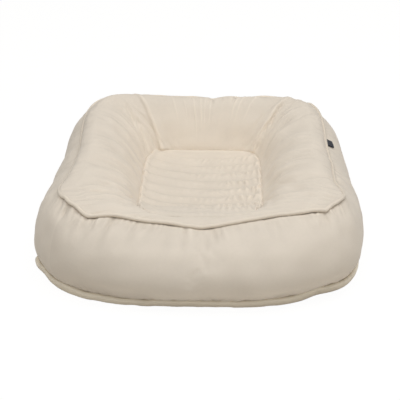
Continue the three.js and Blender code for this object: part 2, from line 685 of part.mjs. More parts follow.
// The pull: a plate whose end bar lies under the crown, with a window that clears the crown
function pullGeometry() {
  const [half, bar] = [PULL_WIDTH / 2, PULL_THICKNESS / 2];
  const reach = Math.hypot(CROWN_LENGTH / 2, crownOpening + CROWN_BAR) + RUNNING_GAP;
  const plate = new THREE.Shape();
  plate.moveTo(-bar, -half);
  plate.lineTo(PULL_LENGTH - half, -half);
  plate.absarc(PULL_LENGTH - half, 0, half, -Math.PI / 2, Math.PI / 2, false);
  plate.lineTo(-bar, half);
  const window = new THREE.Path();
  window.moveTo(bar, PULL_RAIL - half);
  window.lineTo(bar, half - PULL_RAIL);
  window.lineTo(reach, half - PULL_RAIL);
  window.lineTo(reach, PULL_RAIL - half);
  plate.holes.push(window);
  const pull = new THREE.ExtrudeGeometry(plate, { depth: PULL_THICKNESS, bevelEnabled: false, curveSegments: 8 });
  return pull.translate(0, 0, -PULL_THICKNESS / 2).rotateX(-Math.PI / 2);
}

// Tab: a strip folded in two, its fold away from the seam, lying on the band's shoulder
function tabGeometry() {
  const long = TAB_LENGTH;
  const out = TAB_PLY + TAB_FOLD_GAP / 2;
  const strip = new THREE.Shape();
  strip.moveTo(0, -out);
  strip.lineTo(long - out, -out);
  strip.absarc(long - out, 0, out, -Math.PI / 2, Math.PI / 2, false);
  strip.lineTo(0, out);
  strip.lineTo(0, TAB_FOLD_GAP / 2);
  strip.lineTo(long - out, TAB_FOLD_GAP / 2);
  strip.absarc(long - out, 0, TAB_FOLD_GAP / 2, Math.PI / 2, -Math.PI / 2, true);
  strip.lineTo(0, -TAB_FOLD_GAP / 2);
  return new THREE.ExtrudeGeometry(strip, { depth: TAB_WIDTH, bevelEnabled: false, curveSegments: 4 })
    .translate(0, 0, -TAB_WIDTH / 2);
}

// Puts the tab on the band: its long way down the surface, its width along the seam
function placeTab(mesh) {
  const top = bandRows.length - 1;
  const rightSide = allColumns.filter((c) => c > SIDE_COLUMNS && c < 2 * SIDE_COLUMNS);
  const nearest = (a, b) => Math.abs(bandRows[top][a].y - TAB_Y) < Math.abs(bandRows[top][b].y - TAB_Y) ? a : b;
  const column = rightSide.reduce(nearest);
  const [edge, below] = [bandRows[top][column], bandRows[top - 1][column]];
  const down = below.clone().sub(edge).normalize();
  const along = bandRows[top][column + 1].clone().sub(bandRows[top][column - 1]).normalize();
  const out = along.clone().cross(down).negate().normalize();
  const width = down.clone().cross(out).normalize();
  mesh.matrixAutoUpdate = false;
  mesh.matrix.makeBasis(down, out, width);
  const rise = TAB_PLY + TAB_FOLD_GAP / 2 + FRONT_PUCKER_DEPTH + TAB_CLEARANCE;
  mesh.matrix.setPosition(edge.clone().addScaledVector(out, rise));
}

// Materials: brushed sand-beige cloth, undyed ticking, white filling, and the zip
const beige = { color: 0xdccfbc, roughness: 0.92, metalness: 0 };
const piped = { color: 0xe0d4c2, roughness: 0.9, metalness: 0 };
const undyed = { color: 0xf1eee6, roughness: 0.95, metalness: 0 };
const white = { color: 0xfafafa, roughness: 1, metalness: 0 };
const dark = { color: 0x23242a, roughness: 0.8, metalness: 0 };
const nylon = { color: 0xd2c5b0, roughness: 0.6, metalness: 0 };
const metal = { color: 0xb9b3a6, roughness: 0.35, metalness: 1 };

const group = new THREE.Group();
function add(name, geometry, look, parent = group) {
  const mesh = new THREE.Mesh(geometry, new THREE.MeshStandardMaterial(look));
  mesh.name = name;
  parent.add(mesh);
  return mesh;
}

const flat = () => 0;
const bandTop = bandRows.length - 1;
const rearFirst = (SIDE_COLUMNS * 5 - REAR_BAND_COLUMNS) / 2;
const rearLast = (SIDE_COLUMNS * 5 + REAR_BAND_COLUMNS) / 2;

add('base_panel', plateGeometry(baseSeam, BOTTOM_CORD_RADIUS, 0, CLOTH), beige);
add('bottom_piping', cordGeometry(allColumns.map(baseSeam), BOTTOM_CORD_RADIUS), piped);
add('front_side_band', panel(bandRows, bandNormals, 0, bandTop, rearLast, COLUMNS + rearFirst, pucker), beige);
add('rear_band_lower',
  panel(bandRows, bandNormals, 0, BAND_LOWER_ROWS, rearFirst, rearLast, flat), beige);
add('rear_band_upper',
  panel(bandRows, bandNormals, BAND_LOWER_ROWS + 1, bandTop, rearFirst, rearLast, pucker), beige);
add('top_piping', cordGeometry(allColumns.map(topSeam), TOP_CORD_RADIUS), piped);
['front', 'right', 'rear', 'left'].forEach((side, k) => {
  const [first, last] = [k * SIDE_COLUMNS, (k + 1) * SIDE_COLUMNS];
  add(`${side}_wall_panel`, panel(wallRows, wallNormals, 0, lastWallRow, first, last, gather), beige);
});
add('well_floor_panel', wellFloorGeometry(), beige);
placeTab(add('side_tab', tabGeometry(), dark));

add('ticking_base', plateGeometry(baseSeam, BOTTOM_CORD_RADIUS + CLOTH, tickingBottom, TICKING), undyed);
add('inner_ticking', tickingGeometry(), undyed);
add('bolster_fill', bolsterFillGeometry(), white);
add('centre_pad', centrePadGeometry(), white);

add('zip_tape_upper', tapeGeometry(1), nylon);
add('zip_tape_lower', tapeGeometry(-1), nylon);
add('zip_coil_upper', coilGeometry(1), nylon);
add('zip_coil_lower', coilGeometry(-1), nylon);
add('zip_stop_start', stopGeometry(-1), metal);
add('zip_stop_end', stopGeometry(1), metal);

const slider = new THREE.Group();
slider.position.set((SLIDER_LENGTH - coilLength) / 2 + PARKING_GAP, tapeY, ZIP_Z);
add('zip_slider', sliderGeometry(), metal, slider);
add('zip_pull', pullGeometry(), metal, slider).position.y = pullAxis;
group.add(slider);

// The origin is under the middle of the whole lounger, on the floor.
group.updateMatrixWorld(true);
const middle = new THREE.Box3().setFromObject(group).getCenter(V(0, 0, 0));
group.position.set(-middle.x, -middle.y, 0);

export default group;
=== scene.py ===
# %% [markdown]
# # An infant lounger in sand-beige cloth
# The real thing is a soft bolster all round a shallow well. A cover goes over it: a band round the
# outside, four walls that run down into the well, a gathered floor, two piped seams and a zip across
# the rear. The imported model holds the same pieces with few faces. Here each of them is made again as
# cloth, from the same stations. Only the seams' small kinks differ, by a few millimetres.

# %% The frame, and where the lounger stands in it
import math
import bmesh
import bpy
import numpy as np
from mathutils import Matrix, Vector


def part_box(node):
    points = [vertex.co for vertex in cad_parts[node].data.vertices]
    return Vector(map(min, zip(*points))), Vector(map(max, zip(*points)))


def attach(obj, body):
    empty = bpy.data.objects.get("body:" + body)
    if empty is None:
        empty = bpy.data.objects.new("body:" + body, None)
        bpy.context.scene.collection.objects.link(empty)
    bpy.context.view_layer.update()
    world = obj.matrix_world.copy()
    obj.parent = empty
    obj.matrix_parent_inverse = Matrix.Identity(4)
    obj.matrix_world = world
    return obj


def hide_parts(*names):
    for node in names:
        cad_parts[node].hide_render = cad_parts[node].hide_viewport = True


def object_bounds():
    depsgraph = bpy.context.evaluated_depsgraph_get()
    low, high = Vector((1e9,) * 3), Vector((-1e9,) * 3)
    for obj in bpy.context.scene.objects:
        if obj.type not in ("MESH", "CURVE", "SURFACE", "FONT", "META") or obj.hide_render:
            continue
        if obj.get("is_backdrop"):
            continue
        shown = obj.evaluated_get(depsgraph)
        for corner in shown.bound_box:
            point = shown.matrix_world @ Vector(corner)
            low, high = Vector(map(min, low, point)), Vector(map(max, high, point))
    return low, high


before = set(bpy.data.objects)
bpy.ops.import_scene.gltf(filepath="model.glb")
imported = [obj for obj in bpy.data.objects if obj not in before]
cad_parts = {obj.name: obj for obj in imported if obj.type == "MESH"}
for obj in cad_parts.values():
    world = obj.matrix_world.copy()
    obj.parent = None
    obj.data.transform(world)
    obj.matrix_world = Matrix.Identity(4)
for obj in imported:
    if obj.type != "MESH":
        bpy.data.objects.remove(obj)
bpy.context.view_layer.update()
MM = 0.001

# The shapes below are drawn about the middle of the seams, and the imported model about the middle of
# its box. In the drawing the zip's tapes lie about x = 0 and y = TAPE_Y, so their place gives the shift.
TAPE_Y = 279 * MM
tape_low, tape_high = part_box("zip_tape_upper")
SHIFT = np.array([(tape_low.x + tape_high.x) / 2, (tape_low.y + tape_high.y) / 2 - TAPE_Y, 0])

# %% [markdown]
# ## Camera
# The photograph looks down at the lounger from in front, with a long lens. The lens and the angles
# were fitted to the lounger's outline in the picture. They could be set by eye, but then the seams
# would not lie where they are in the photograph.

# %% Camera
def aim(thing, azimuth, elevation, distance, target):
    """Puts a thing at a distance from its target, and turns it to look there. Azimuth 0 is the front."""
    a, e = math.radians(azimuth), math.radians(elevation)
    back = Vector((math.sin(a) * math.cos(e), -math.cos(a) * math.cos(e), math.sin(e)))
    thing.location = Vector(target) + back * distance
    thing.rotation_euler = (-back).to_track_quat("-Z", "Y").to_euler()
    bpy.context.scene.collection.objects.link(thing)
    return thing


SENSOR, PICTURE_PX, FOCAL_PX = 36, 400, 1163
AZIMUTH, ELEVATION, DISTANCE = 1.4, 28.5, 2.2
TARGET = (-2 * MM, -10 * MM + SHIFT[1], 68 * MM)
view = bpy.data.cameras.new("view")
view.sensor_width = SENSOR
view.lens = SENSOR * FOCAL_PX / PICTURE_PX
view.clip_end = 50
bpy.context.scene.camera = aim(bpy.data.objects.new("view", view), AZIMUTH, ELEVATION, DISTANCE, TARGET)
bpy.context.scene.view_settings.view_transform = "Standard"
print("lens", round(view.lens, 1), "mm")

# %% [markdown]
# ## How materials are written here
# A material is a net of nodes. To keep it readable, a socket is wrapped in a small class, so that
# sums of sockets are written as Python sums and each sign adds one Math node.

# %% Materials as expressions
def srgb(red, green, blue):
    """A screen colour of 0 to 255 as the linear colour that Blender wants: ((c + .055) / 1.055) ^ 2.4."""
    c = np.array([red, green, blue]) / 255
    return (*np.where(c <= 0.04045, c / 12.92, ((c + 0.055) / 1.055) ** 2.4), 1)


def toned(colour, share):
    """A colour made darker or lighter: each channel times a share, at most 1."""
    return tuple(min(1, c * share) for c in colour[:3]) + (1,)


def sign(operation, swapped=False):
    """The method behind a sign: one Math node, with the two terms in order or swapped."""
    def method(wire, other):
        return wire.math(operation, *((other, wire) if swapped else (wire, other)))
    return method


class Wire:
    """One output of a node. Sums, differences and products of wires add Math nodes."""
    __add__, __radd__ = sign("ADD"), sign("ADD", True)
    __sub__, __rsub__ = sign("SUBTRACT"), sign("SUBTRACT", True)
    __mul__, __rmul__ = sign("MULTIPLY"), sign("MULTIPLY", True)

    def __init__(self, look, node, output=0):
        self.look, self.node = look, node
        self.socket = node.outputs[output] if len(node.outputs) else None

    def out(self, name):
        return Wire(self.look, self.node, name)

    def math(self, operation, *terms):
        return self.look.add("ShaderNodeMath", {"operation": operation}, dict(enumerate(terms)))

    def sine(self):
        return self.math("SINE", self)


class Look:
    """A material that is being built, with one method that adds any node."""
    def __init__(self, name):
        self.material = bpy.data.materials.new(name)
        self.material.use_nodes = True
        self.tree = self.material.node_tree
        self.tree.nodes.clear()

    def add(self, kind, settings, sockets, output=0):
        node = self.tree.nodes.new(kind)
        for key, value in settings.items():
            setattr(node, key, value)
        for key, value in sockets.items():
            if isinstance(value, Wire):
                self.tree.links.new(value.socket, node.inputs[key])
            else:
                node.inputs[key].default_value = value
        return Wire(self, node, output)

    def mix(self, share, first, second):
        """Colour between two colours."""
        settings = {"data_type": "RGBA", "clamp_factor": True}
        return self.add("ShaderNodeMix", settings, {0: share, 6: first, 7: second}, 2)

    def noise(self, place, scale, detail=2.0, roughness=0.5):
        sockets = {"Vector": place, "Scale": scale, "Detail": detail, "Roughness": roughness}
        return self.add("ShaderNodeTexNoise", {}, sockets)

    def bump(self, height, distance, strength=1.0, under=None):
        """Turns a height from 0 to 1 into a bent normal. The distance is the height in metres."""
        sockets = {"Height": height, "Distance": distance, "Strength": strength}
        if under is not None:
            sockets["Normal"] = under
        return self.add("ShaderNodeBump", {}, sockets)

    def finish(self, **sockets):
        sockets = {key.replace("_", " "): value for key, value in sockets.items()}
        shader = self.add("ShaderNodeBsdfPrincipled", {}, sockets)
        self.add("ShaderNodeOutputMaterial", {}, {"Surface": shader})
        return self.material


def object_place(look):
    return look.add("ShaderNodeTexCoord", {}, {}).out("Object")


print("a white of 255 is", srgb(255, 255, 255))

# %% [markdown]
# ## Floor and light
# The floor is plain and pale. It shows white to the camera and still takes a faint shadow, and it
# lights the lounger from below as a real white floor does. One wide lamp hangs above, a little to the
# right, a weak low one stands in front at the right, and the sky fills the rest. A picture of a real
# studio could light it too, but lamps are few numbers that anyone can change.

# %% Floor, sky and lamps
def floor_look():
    """White to the camera with a share of real shading in it, plain diffuse white to the light."""
    look = Look("pale_floor")
    ray = look.add("ShaderNodeLightPath", {}, {})
    seen = ray.out("Is Camera Ray")
    plain = look.add("ShaderNodeBsdfDiffuse", {}, {"Color": (0.84, 0.81, 0.76, 1)})
    white = look.add("ShaderNodeEmission", {}, {"Color": (1, 1, 1, 1), "Strength": 1.05})
    shown = look.add("ShaderNodeMixShader", {}, {0: seen * 0.9, 1: plain, 2: white})
    look.add("ShaderNodeOutputMaterial", {}, {"Surface": shown})
    return look.material


def floor_mesh(half):
    mesh = bpy.data.meshes.new("floor")
    corners = [(x * half, y * half, 0) for x, y in ((-1, -1), (1, -1), (1, 1), (-1, 1))]
    mesh.from_pydata(corners, [], [(0, 1, 2, 3)])
    return mesh


floor = bpy.data.objects.new("floor", floor_mesh(6))
floor.data.materials.append(floor_look())
bpy.context.scene.collection.objects.link(floor)
floor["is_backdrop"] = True

world = bpy.data.worlds.new("studio")
world.use_nodes = True
bpy.context.scene.world = world
sky = world.node_tree
sky.nodes.clear()
ray, lights, seen, mixed, out = [sky.nodes.new("ShaderNode" + kind) for kind in (
    "LightPath", "Background", "Background", "MixShader", "OutputWorld")]
lights.inputs["Strength"].default_value = 0.33
lights.inputs["Color"].default_value = (1, 0.985, 0.96, 1)
seen.inputs["Color"].default_value = (1, 1, 1, 1)
for source, goal in ((ray.outputs["Is Camera Ray"], mixed.inputs[0]), (lights.outputs[0], mixed.inputs[1]),
                     (seen.outputs[0], mixed.inputs[2]), (mixed.outputs[0], out.inputs[0])):
    sky.links.new(source, goal)


def lamp(name, watts, width, depth, azimuth, elevation, distance):
    """A rectangle of light, aimed at the lounger's middle."""
    light = bpy.data.lights.new(name, "AREA")
    light.shape = "RECTANGLE"
    light.energy, light.size, light.size_y = watts, width, depth
    return aim(bpy.data.objects.new(name, light), azimuth, elevation, distance, (0, 0, 0.1))


lamp("overhead", watts=49, width=3.2, depth=1.6, azimuth=22, elevation=79, distance=2.6)
lamp("low_fill", watts=3.4, width=3.0, depth=0.8, azimuth=40, elevation=8, distance=2.8)

# %% [markdown]
# ## Cloth, thread and metal
# The cover is a brushed cotton: a fine plain weave under a short nap. From a metre away only the
# nap's soft sheen and a slight cloudiness show. Closer, the weave can be seen. The cloth is a trace
# lighter near the crest. Light and shade are also painted into its colour: painted highlights on
# ridges and on the piping's upper side, and painted shade in creases and seams. The weave follows the
# cloth through a UV map in metres, and the tone and painted light come from a vertex attribute that
# the geometry writes.

# %% Woven cloth
def woven(name, colour, pitch=0.55 * MM, nap=1.0, sheen=0.25, rough=0.88, tone_and_shade=0.06):
    """Plain weave, height = sin(u) sin(v) over the thread pitch, under noise for the nap."""
    look = Look(name)
    place = object_place(look)
    on_cloth = look.add("ShaderNodeUVMap", {"uv_map": "cloth"}, {})
    metres = look.add("ShaderNodeSeparateXYZ", {}, {0: on_cloth})
    threads = 2 * math.pi / pitch
    weave = (metres.out(0) * threads).sine() * (metres.out(1) * threads).sine() * 0.5 + 0.5
    fuzz = look.noise(place, 900.0, 3.0, 0.6)
    slub = look.noise(place, 160.0, 2.0, 0.5)
    cloud = look.noise(place, 9.0, 3.0, 0.55)
    # The attribute holds tone: a random mottle, a trace lighter near the crest, and painted light and shade.
    tone_and_painted_light = look.add("ShaderNodeAttribute", {"attribute_name": "tone_and_painted_light"}, {}).out("Fac")
    tint = cloud * 0.30 + slub * 0.15 + fuzz * 0.11 + weave * 0.08 + 0.18 + (tone_and_painted_light - 0.5) * (tone_and_shade * 18)
    shade = look.mix(tint, toned(colour, 0.85), toned(colour, 1.12))
    roughness = rough - 0.06 + fuzz * 0.10 + (0.5 - tone_and_painted_light) * 0.05
    threads_up = look.bump(weave, 0.05 * MM, 0.6)
    nap_up = look.bump(fuzz * 0.7 + slub * 0.3, 0.10 * MM * nap, 0.8, threads_up)
    return look.finish(Base_Color=shade, Roughness=roughness, Normal=nap_up, Sheen_Weight=sheen,
                       Sheen_Roughness=0.45, Specular_IOR_Level=0.25)


BEIGE = srgb(231, 220.5, 206)
cover_cloth = woven("brushed_cotton_cover", BEIGE)
piping_cloth = woven("bias_cut_piping", srgb(232, 221, 205), tone_and_shade=0.05)
# Painted light: the welt is the cover's sand-beige cloth, drawn paler so that its shade under the belly
# comes out lighter.
welt_cloth = woven("bias_cut_welt", srgb(247, 234, 216), tone_and_shade=0.05)
ticking_cloth = woven("undyed_ticking", srgb(238, 233, 222), pitch=0.4 * MM, nap=0.4, sheen=0.1)
tab_cloth = woven("dark_ribbon", srgb(44, 46, 56), pitch=0.8 * MM, nap=0.3, sheen=0.35, tone_and_shade=0.1)
tape_cloth = woven("zip_tape_weave", srgb(205, 190, 166), pitch=0.7 * MM, nap=0.3, sheen=0.1)
print("cloths", len(bpy.data.materials) - 1)

# %% [markdown]
# ## Fibre, thread, nylon and metal
# Polyester filling is matt and tangled, the zip's coils are plain nylon, and its slider is cast zinc
# with a satin coat. Hair strands could show the fibre, but it lies under two cloths, so noise does.

# %% Fibre, thread, nylon and metal
def fibre(name, colour):
    """Loose polyester fibre: fine tangled noise over soft lumps."""
    look = Look(name)
    place = object_place(look)
    strands = look.noise(place, 420.0, 5.0, 0.75)
    lumps = look.noise(place, 35.0, 3.0, 0.6)
    shade = look.mix(strands * 0.6 + lumps * 0.5, toned(colour, 0.86), colour)
    lumpy = look.bump(lumps, 1.2 * MM, 0.7)
    rise = look.bump(strands, 0.5 * MM, 0.9, lumpy)
    return look.finish(Base_Color=shade, Roughness=0.97 - strands * 0.1, Normal=rise, Sheen_Weight=0.3,
                       Specular_IOR_Level=0.2)


def moulded(name, colour, rough):
    """Nylon: almost plain, with a fine flow grain."""
    look = Look(name)
    grain = look.noise(object_place(look), 700.0, 2.0, 0.5)
    shade = look.mix(grain, toned(colour, 0.93), colour)
    return look.finish(Base_Color=shade, Roughness=rough + grain * 0.12,
                       Normal=look.bump(grain, 0.03 * MM, 0.5))


def worn_metal(name, colour):
    """Zinc casting with a satin coat: fine scratches and a cloudy tarnish."""
    look = Look(name)
    place = object_place(look)
    scratch = look.noise(place, 1400.0, 4.0, 0.7)
    tarnish = look.noise(place, 180.0, 3.0, 0.6)
    shade = look.mix(tarnish * 0.7 + scratch * 0.3, toned(colour, 0.72), colour)
    return look.finish(Base_Color=shade, Metallic=1.0, Roughness=0.22 + tarnish * 0.2 + scratch * 0.08,
                       Normal=look.bump(scratch, 0.012 * MM, 0.5))


white_fibre = fibre("white_fibre", srgb(246, 245, 241))
pad_fibre = fibre("pressed_fibre_pad", srgb(240, 239, 233))
sewing_thread = woven("sewing_thread", srgb(214, 200, 178), pitch=0.3 * MM, nap=0.3, sheen=0.4, rough=0.7)
coil_nylon = moulded("coil_nylon", srgb(214, 200, 176), 0.42)
zip_metal = worn_metal("satin_zinc", srgb(196, 190, 178))
print("materials", len(bpy.data.materials))

# %% [markdown]
# ## The seams as stations
# The cover is drawn with closed outlines, one above the other: the bottom welt, the belly of the
# band, the top seam, the crest of the bolster, and the edge of the well's floor. Each one is a
# rounded square whose roundness changes from front to rear. A ring parameter s runs from 0 to 4:
# side 0 is the front from left to right, side 1 the right side, 2 the rear, and 3 the left side.

# %% Stations
def station(half_width, front, rear, heights, powers, taper=0.0, flare=0.0):
    return dict(half_width=half_width * MM, front=front * MM, rear=rear * MM,
                heights=np.array(heights) * MM, powers=powers, taper=taper, flare=flare)


# heights: front middle, front corners, sides, rear corners, rear middle
BASE = station(283, 267, 271, (6, 6, 6, 6, 6), (3.2, 3.3), 0.03, 0.055)
BELLY = station(291, 300, 290, (55, 57, 58, 60, 60), (2.6, 4.2), 0.105, 0.12)
TOP = station(238, 205, 248, (127, 151, 145, 170, 165), (4.7, 4.8), 0.044, 0.09)
CREST = station(207, 197, 225, (130, 152, 171, 188, 181), (4, 5), -0.015)
FLOOR = station(116, 186, 160, (0, 0, 0, 0, 0), (4.3, 6))
PIT = station(110, 50, 153, (0, 0, 0, 0, 0), (6, 6))

# Where panels have their corners, the seam is pulled out and down: share of the ring, reach, and how
# far out and down in mm.
TOP_TIES = [(0.033, 0.013, 9, 6), (0.015, 0.012, -1.5, -1.5), (0.057, 0.011, -2, -2), (0.129, 0.019, 5, 5),
            (0.19, 0.038, -6, -4), (0.238, 0.009, 6, 2), (0.2875, 0.0225, 9, 0), (0.3225, 0.015, -3, 0),
            (0.37, 0.0225, 5, 0), (0.855, 0.04, -5, 0), (0.95, 0.0175, 3, 0), (0.9875, 0.0125, -4, -1),
            (0.616, 0.008, -2, 3), (0.581, 0.007, -2, 3), (0.533, 0.011, -3, 6), (0.508, 0.007, -2, 4)]
BASE_TIES = [(0.225, 0.03, -15, 0), (0.295, 0.0125, 1, 0), (0.943, 0.0125, 11, 0)]
BELLY_TIES = [(0.415, 0.03, 3.5, 0), (0.835, 0.03, -6, 0)]
# How far the walls' corner seams lean at the rear, right and left, at the top seam and at the floor
SEAM_LEAN, FLOOR_LEAN = (0.07, 0.18), (0.02, 0.14)
LEAN_REACH = 0.36


def smooth(low, high, x):
    """0 below low, 1 above high, and 3t^2 - 2t^3 between."""
    t = np.clip((x - low) / (high - low), 0, 1)
    return t * t * (3 - 2 * t)


def plateau(x, low, rise_end, fall_start, high):
    """0, then 1 between the end of the rise and the start of the fall, then 0, with smooth steps."""
    return smooth(low, rise_end, x) * (1 - smooth(fall_start, high, x))


def bell(x, width, power=2):
    """1 at 0, and exp(-(|x| / width) ^ power) beside it."""
    return np.exp(-(abs(x) / width) ** power)


def square(s):
    """Point of the unit square's border for each ring parameter."""
    s = s % 4
    side, t = np.floor(s).astype(int), 2 * (s % 1) - 1
    one = np.ones_like(t)
    return np.choose(side, [t, one, -t, -one]), np.choose(side, [-one, t, one, -t])


def heights_round(values, s):
    """Closed cubic through eight heights round the ring, with the slopes of the neighbours' chords."""
    v = values[[1, 0, 1, 2, 3, 4, 3, 2]]
    q = (s % 4) * 2
    i = np.floor(q).astype(int)
    f = q - i
    slope = (np.roll(v, -1) - np.roll(v, 1)) / 2
    a, b, sa, sb = v[i % 8], v[(i + 1) % 8], slope[i % 8], slope[(i + 1) % 8]
    return ((1 + 2 * f) * (1 - f) ** 2 * a + f * (1 - f) ** 2 * sa
            + f * f * (3 - 2 * f) * b + f * f * (f - 1) * sb)


def outline(st, s):
    """Superellipse |x|^p + |y|^p = 1, narrowed to the rear (taper) and flared at both ends (flare)."""
    u, w = square(s)
    p = st["powers"][0] + (st["powers"][1] - st["powers"][0]) * smooth(-0.3, 0.3, w)
    k = (abs(u) ** p + abs(w) ** p) ** (-1 / p)
    reach = w * k
    x = st["half_width"] * u * k * (1 - st["taper"] * reach + st["flare"] * reach ** 2)
    y = np.where(reach < 0, st["front"], st["rear"]) * reach
    return np.stack([x, y, heights_round(st["heights"], s)], -1)


def floor_height(y):
    """The well's floor: 87 mm up, then a smooth climb of 44 mm over the front bolster."""
    level, climb, climb_from, climb_to = 87, 44, 48, 175
    return (level + climb * smooth(climb_from, climb_to, -y / MM)) * MM


def unit(v):
    return v / np.maximum(np.linalg.norm(v, axis=-1, keepdims=True), 1e-12)


def seam(st, ties, s):
    """A station, moved outwards and down at its ties by exp(-(distance / reach)^1.5)."""
    p = outline(st, s)
    along = unit(outline(st, s + 0.04) - outline(st, s - 0.04))
    out = unit(np.stack([along[..., 1], -along[..., 0], 0 * along[..., 0]], -1))
    for place, reach, outwards, down in ties:
        way = abs((s / 4 - place + 0.5) % 1 - 0.5)
        g = bell(way, reach, 1.5)[..., None]
        p = p + out * g * outwards * MM - np.array([0, 0, 1]) * g * down * MM
    return p


def top_seam(s):
    return seam(TOP, TOP_TIES, s)


def base_seam(s):
    return seam(BASE, BASE_TIES, s)


def lean(s, right, left):
    """At the rear corners the side walls' seams lean: near them s moves by a bell of the way to them."""
    return s + right * bell(s % 4 - 2.0, LEAN_REACH) - left * bell(s % 4 - 3.0, LEAN_REACH)


def left_of(s):
    """1 along the left side, 0 elsewhere, with smooth ends."""
    return plateau(s, 3.0, 3.15, 3.8, 3.95)


def floor_edge(s):
    """The well's edge: its outline in plan, at the floor's height."""
    p = outline(FLOOR, lean(s, *FLOOR_LEAN))
    p[..., 2] = floor_height(p[..., 1])
    return p


around = np.linspace(0, 4, 801)
print("top seam", round(np.linalg.norm(np.diff(top_seam(around), axis=0), axis=1).sum(), 3), "m long")

# %% [markdown]
# ## Curves and grids
# A panel is a grid of points: rows up the cloth, columns round the ring. The columns are curves
# through the stations, and the points are set by their share of the curve's length, so that the
# faces stay even. Everything is worked out for the whole grid at once.

# %% Curves through stations
def profile(points, count=96):
    """Centripetal Catmull-Rom through a few rings of points, all columns at once."""
    ring = np.array(points)
    ext = np.concatenate([[2 * ring[0] - ring[1]], ring, [2 * ring[-1] - ring[-2]]])
    q = np.linspace(0, len(points) - 1, count)
    i = np.minimum(q.astype(int), len(points) - 2)
    f = (q - i)[:, None, None]
    p0, p1, p2, p3 = (ext[i + k] for k in range(4))
    d0, d1, d2 = (np.maximum(np.linalg.norm(b - a, axis=-1, keepdims=True), 1e-7) ** 0.5
                  for a, b in ((p0, p1), (p1, p2), (p2, p3)))
    t1 = ((p1 - p0) / d0 - (p2 - p0) / (d0 + d1) + (p2 - p1) / d1) * d1
    t2 = ((p2 - p1) / d1 - (p3 - p1) / (d1 + d2) + (p3 - p2) / d2) * d1
    return (p1 + t1 * f + (-3 * p1 + 3 * p2 - 2 * t1 - t2) * f ** 2 + (2 * p1 - 2 * p2 + t1 + t2) * f ** 3)


def lengths(grid):
    """Length along each column up to each row."""
    step = np.linalg.norm(np.diff(grid, axis=0), axis=-1)
    return np.concatenate([np.zeros((1, grid.shape[1])), np.cumsum(step, 0)])


def closed_arc(line):
    """Length along a closed line up to each point, and its total: the last step equals the first."""
    arc = lengths(line[:, None])[:, 0]
    return arc, float(arc[-1] + arc[1])


def at_shares(line, shares):
    """Points at shares of each column's length; shares is one list, or one list per column."""
    far = lengths(line)
    goal = np.broadcast_to(np.atleast_2d(shares.T).T if shares.ndim == 1 else shares,
                           (shares.shape[0], line.shape[1])) * far[-1]
    i = np.clip((far[None] <= goal[:, None]).sum(1) - 1, 0, len(line) - 2)
    a, b = np.take_along_axis(far, i, 0), np.take_along_axis(far, i + 1, 0)
    f = ((goal - a) / np.maximum(b - a, 1e-12))[..., None]
    index = np.repeat(i[..., None], 3, -1)
    return np.take_along_axis(line, index, 0) * (1 - f) + np.take_along_axis(line, index + 1, 0) * f


def share_at_height(line, z):
    """Share of each rising column's length at which it reaches a height."""
    far = lengths(line)
    i = np.clip((line[..., 2] < z).sum(0) - 1, 0, len(line) - 2)[None]
    a, b = np.take_along_axis(line[..., 2], i, 0), np.take_along_axis(line[..., 2], i + 1, 0)
    f = (z - a) / np.maximum(b - a, 1e-9)
    reached = np.take_along_axis(far, i, 0) * (1 - f) + np.take_along_axis(far, i + 1, 0) * f
    return (reached / far[-1])[0]


def between(a, b, plan, height):
    """A point between two others, with one share in plan and one in height."""
    p = a + (b - a) * plan
    p[..., 2] = a[..., 2] + (b[..., 2] - a[..., 2]) * height
    return p


def beside(line, target, distance):
    """From a seam's line square to it towards a target, by a distance."""
    along = unit(np.roll(line, -1, 0) - np.roll(line, 1, 0))
    way = target - line
    way = way - along * (way * along).sum(-1, keepdims=True)
    return line + unit(way) * distance


def facing(grid, closed):
    """Outward normal of each point: the row's direction crossed with the column's."""
    if closed:
        along = np.roll(grid, -1, 1) - np.roll(grid, 1, 1)
    else:
        along = np.gradient(grid, axis=1)
    return unit(np.cross(along, np.gradient(grid, axis=0)))


def refine(grid, factor, axis, closed=False):
    """More points between the grid's own, on uniform Catmull-Rom curves."""
    g = np.moveaxis(np.asarray(grid, float), axis, 0)
    n = len(g)
    if closed:
        g = np.concatenate([g[-1:], g, g[:2]])
    else:
        g = np.concatenate([[2 * g[0] - g[1]], g, [2 * g[-1] - g[-2]], [3 * g[-1] - 2 * g[-2]]])
    t = np.arange(n * factor if closed else (n - 1) * factor + 1) / factor
    i = t.astype(int)
    f = (t - i).reshape(-1, *[1] * (g.ndim - 1))
    a, b, c, d = (g[i + k] for k in range(4))
    curve = (2 * b + (c - a) * f + (2 * a - 5 * b + 4 * c - d) * f ** 2
             + (3 * b - a - 3 * c + d) * f ** 3) / 2
    return np.moveaxis(curve, 0, axis)


def finer(grid, factor, closed):
    return refine(refine(grid, factor, 0), factor, 1, closed)


def waves(points, length, seed, count=14):
    """Soft random field from -1 to 1: a mean of plane waves in random directions."""
    rng = np.random.default_rng(seed)
    way = unit(rng.normal(size=(count, 3))) * (2 * np.pi / (length * rng.uniform(0.7, 1.5, (count, 1))))
    phase = rng.uniform(0, 2 * np.pi, count)
    return np.sin(points @ way.T + phase).sum(-1) / count ** 0.5 / 1.5


def proud(relief, reach, closed=True):
    """Height in mm over the mean of the points within some rows and columns. Creases are below 0."""
    sides = np.pad(relief, ((0, 0), (reach, reach)), mode="wrap" if closed else "edge")
    wide = np.pad(sides, ((reach, reach), (0, 0)), mode="edge")
    window = np.lib.stride_tricks.sliding_window_view(wide, (2 * reach + 1, 2 * reach + 1))
    return (relief - window.mean((-1, -2))) / MM


print("a curve has", profile([top_seam(around)] * 4).shape[0], "points")

# %% [markdown]
# ## From a grid to a sewn panel
# A panel has a right side and a wrong side, one cloth's thickness apart, and rims that join them, so
# it is a closed piece. Its UV map holds metres along and across the cloth.

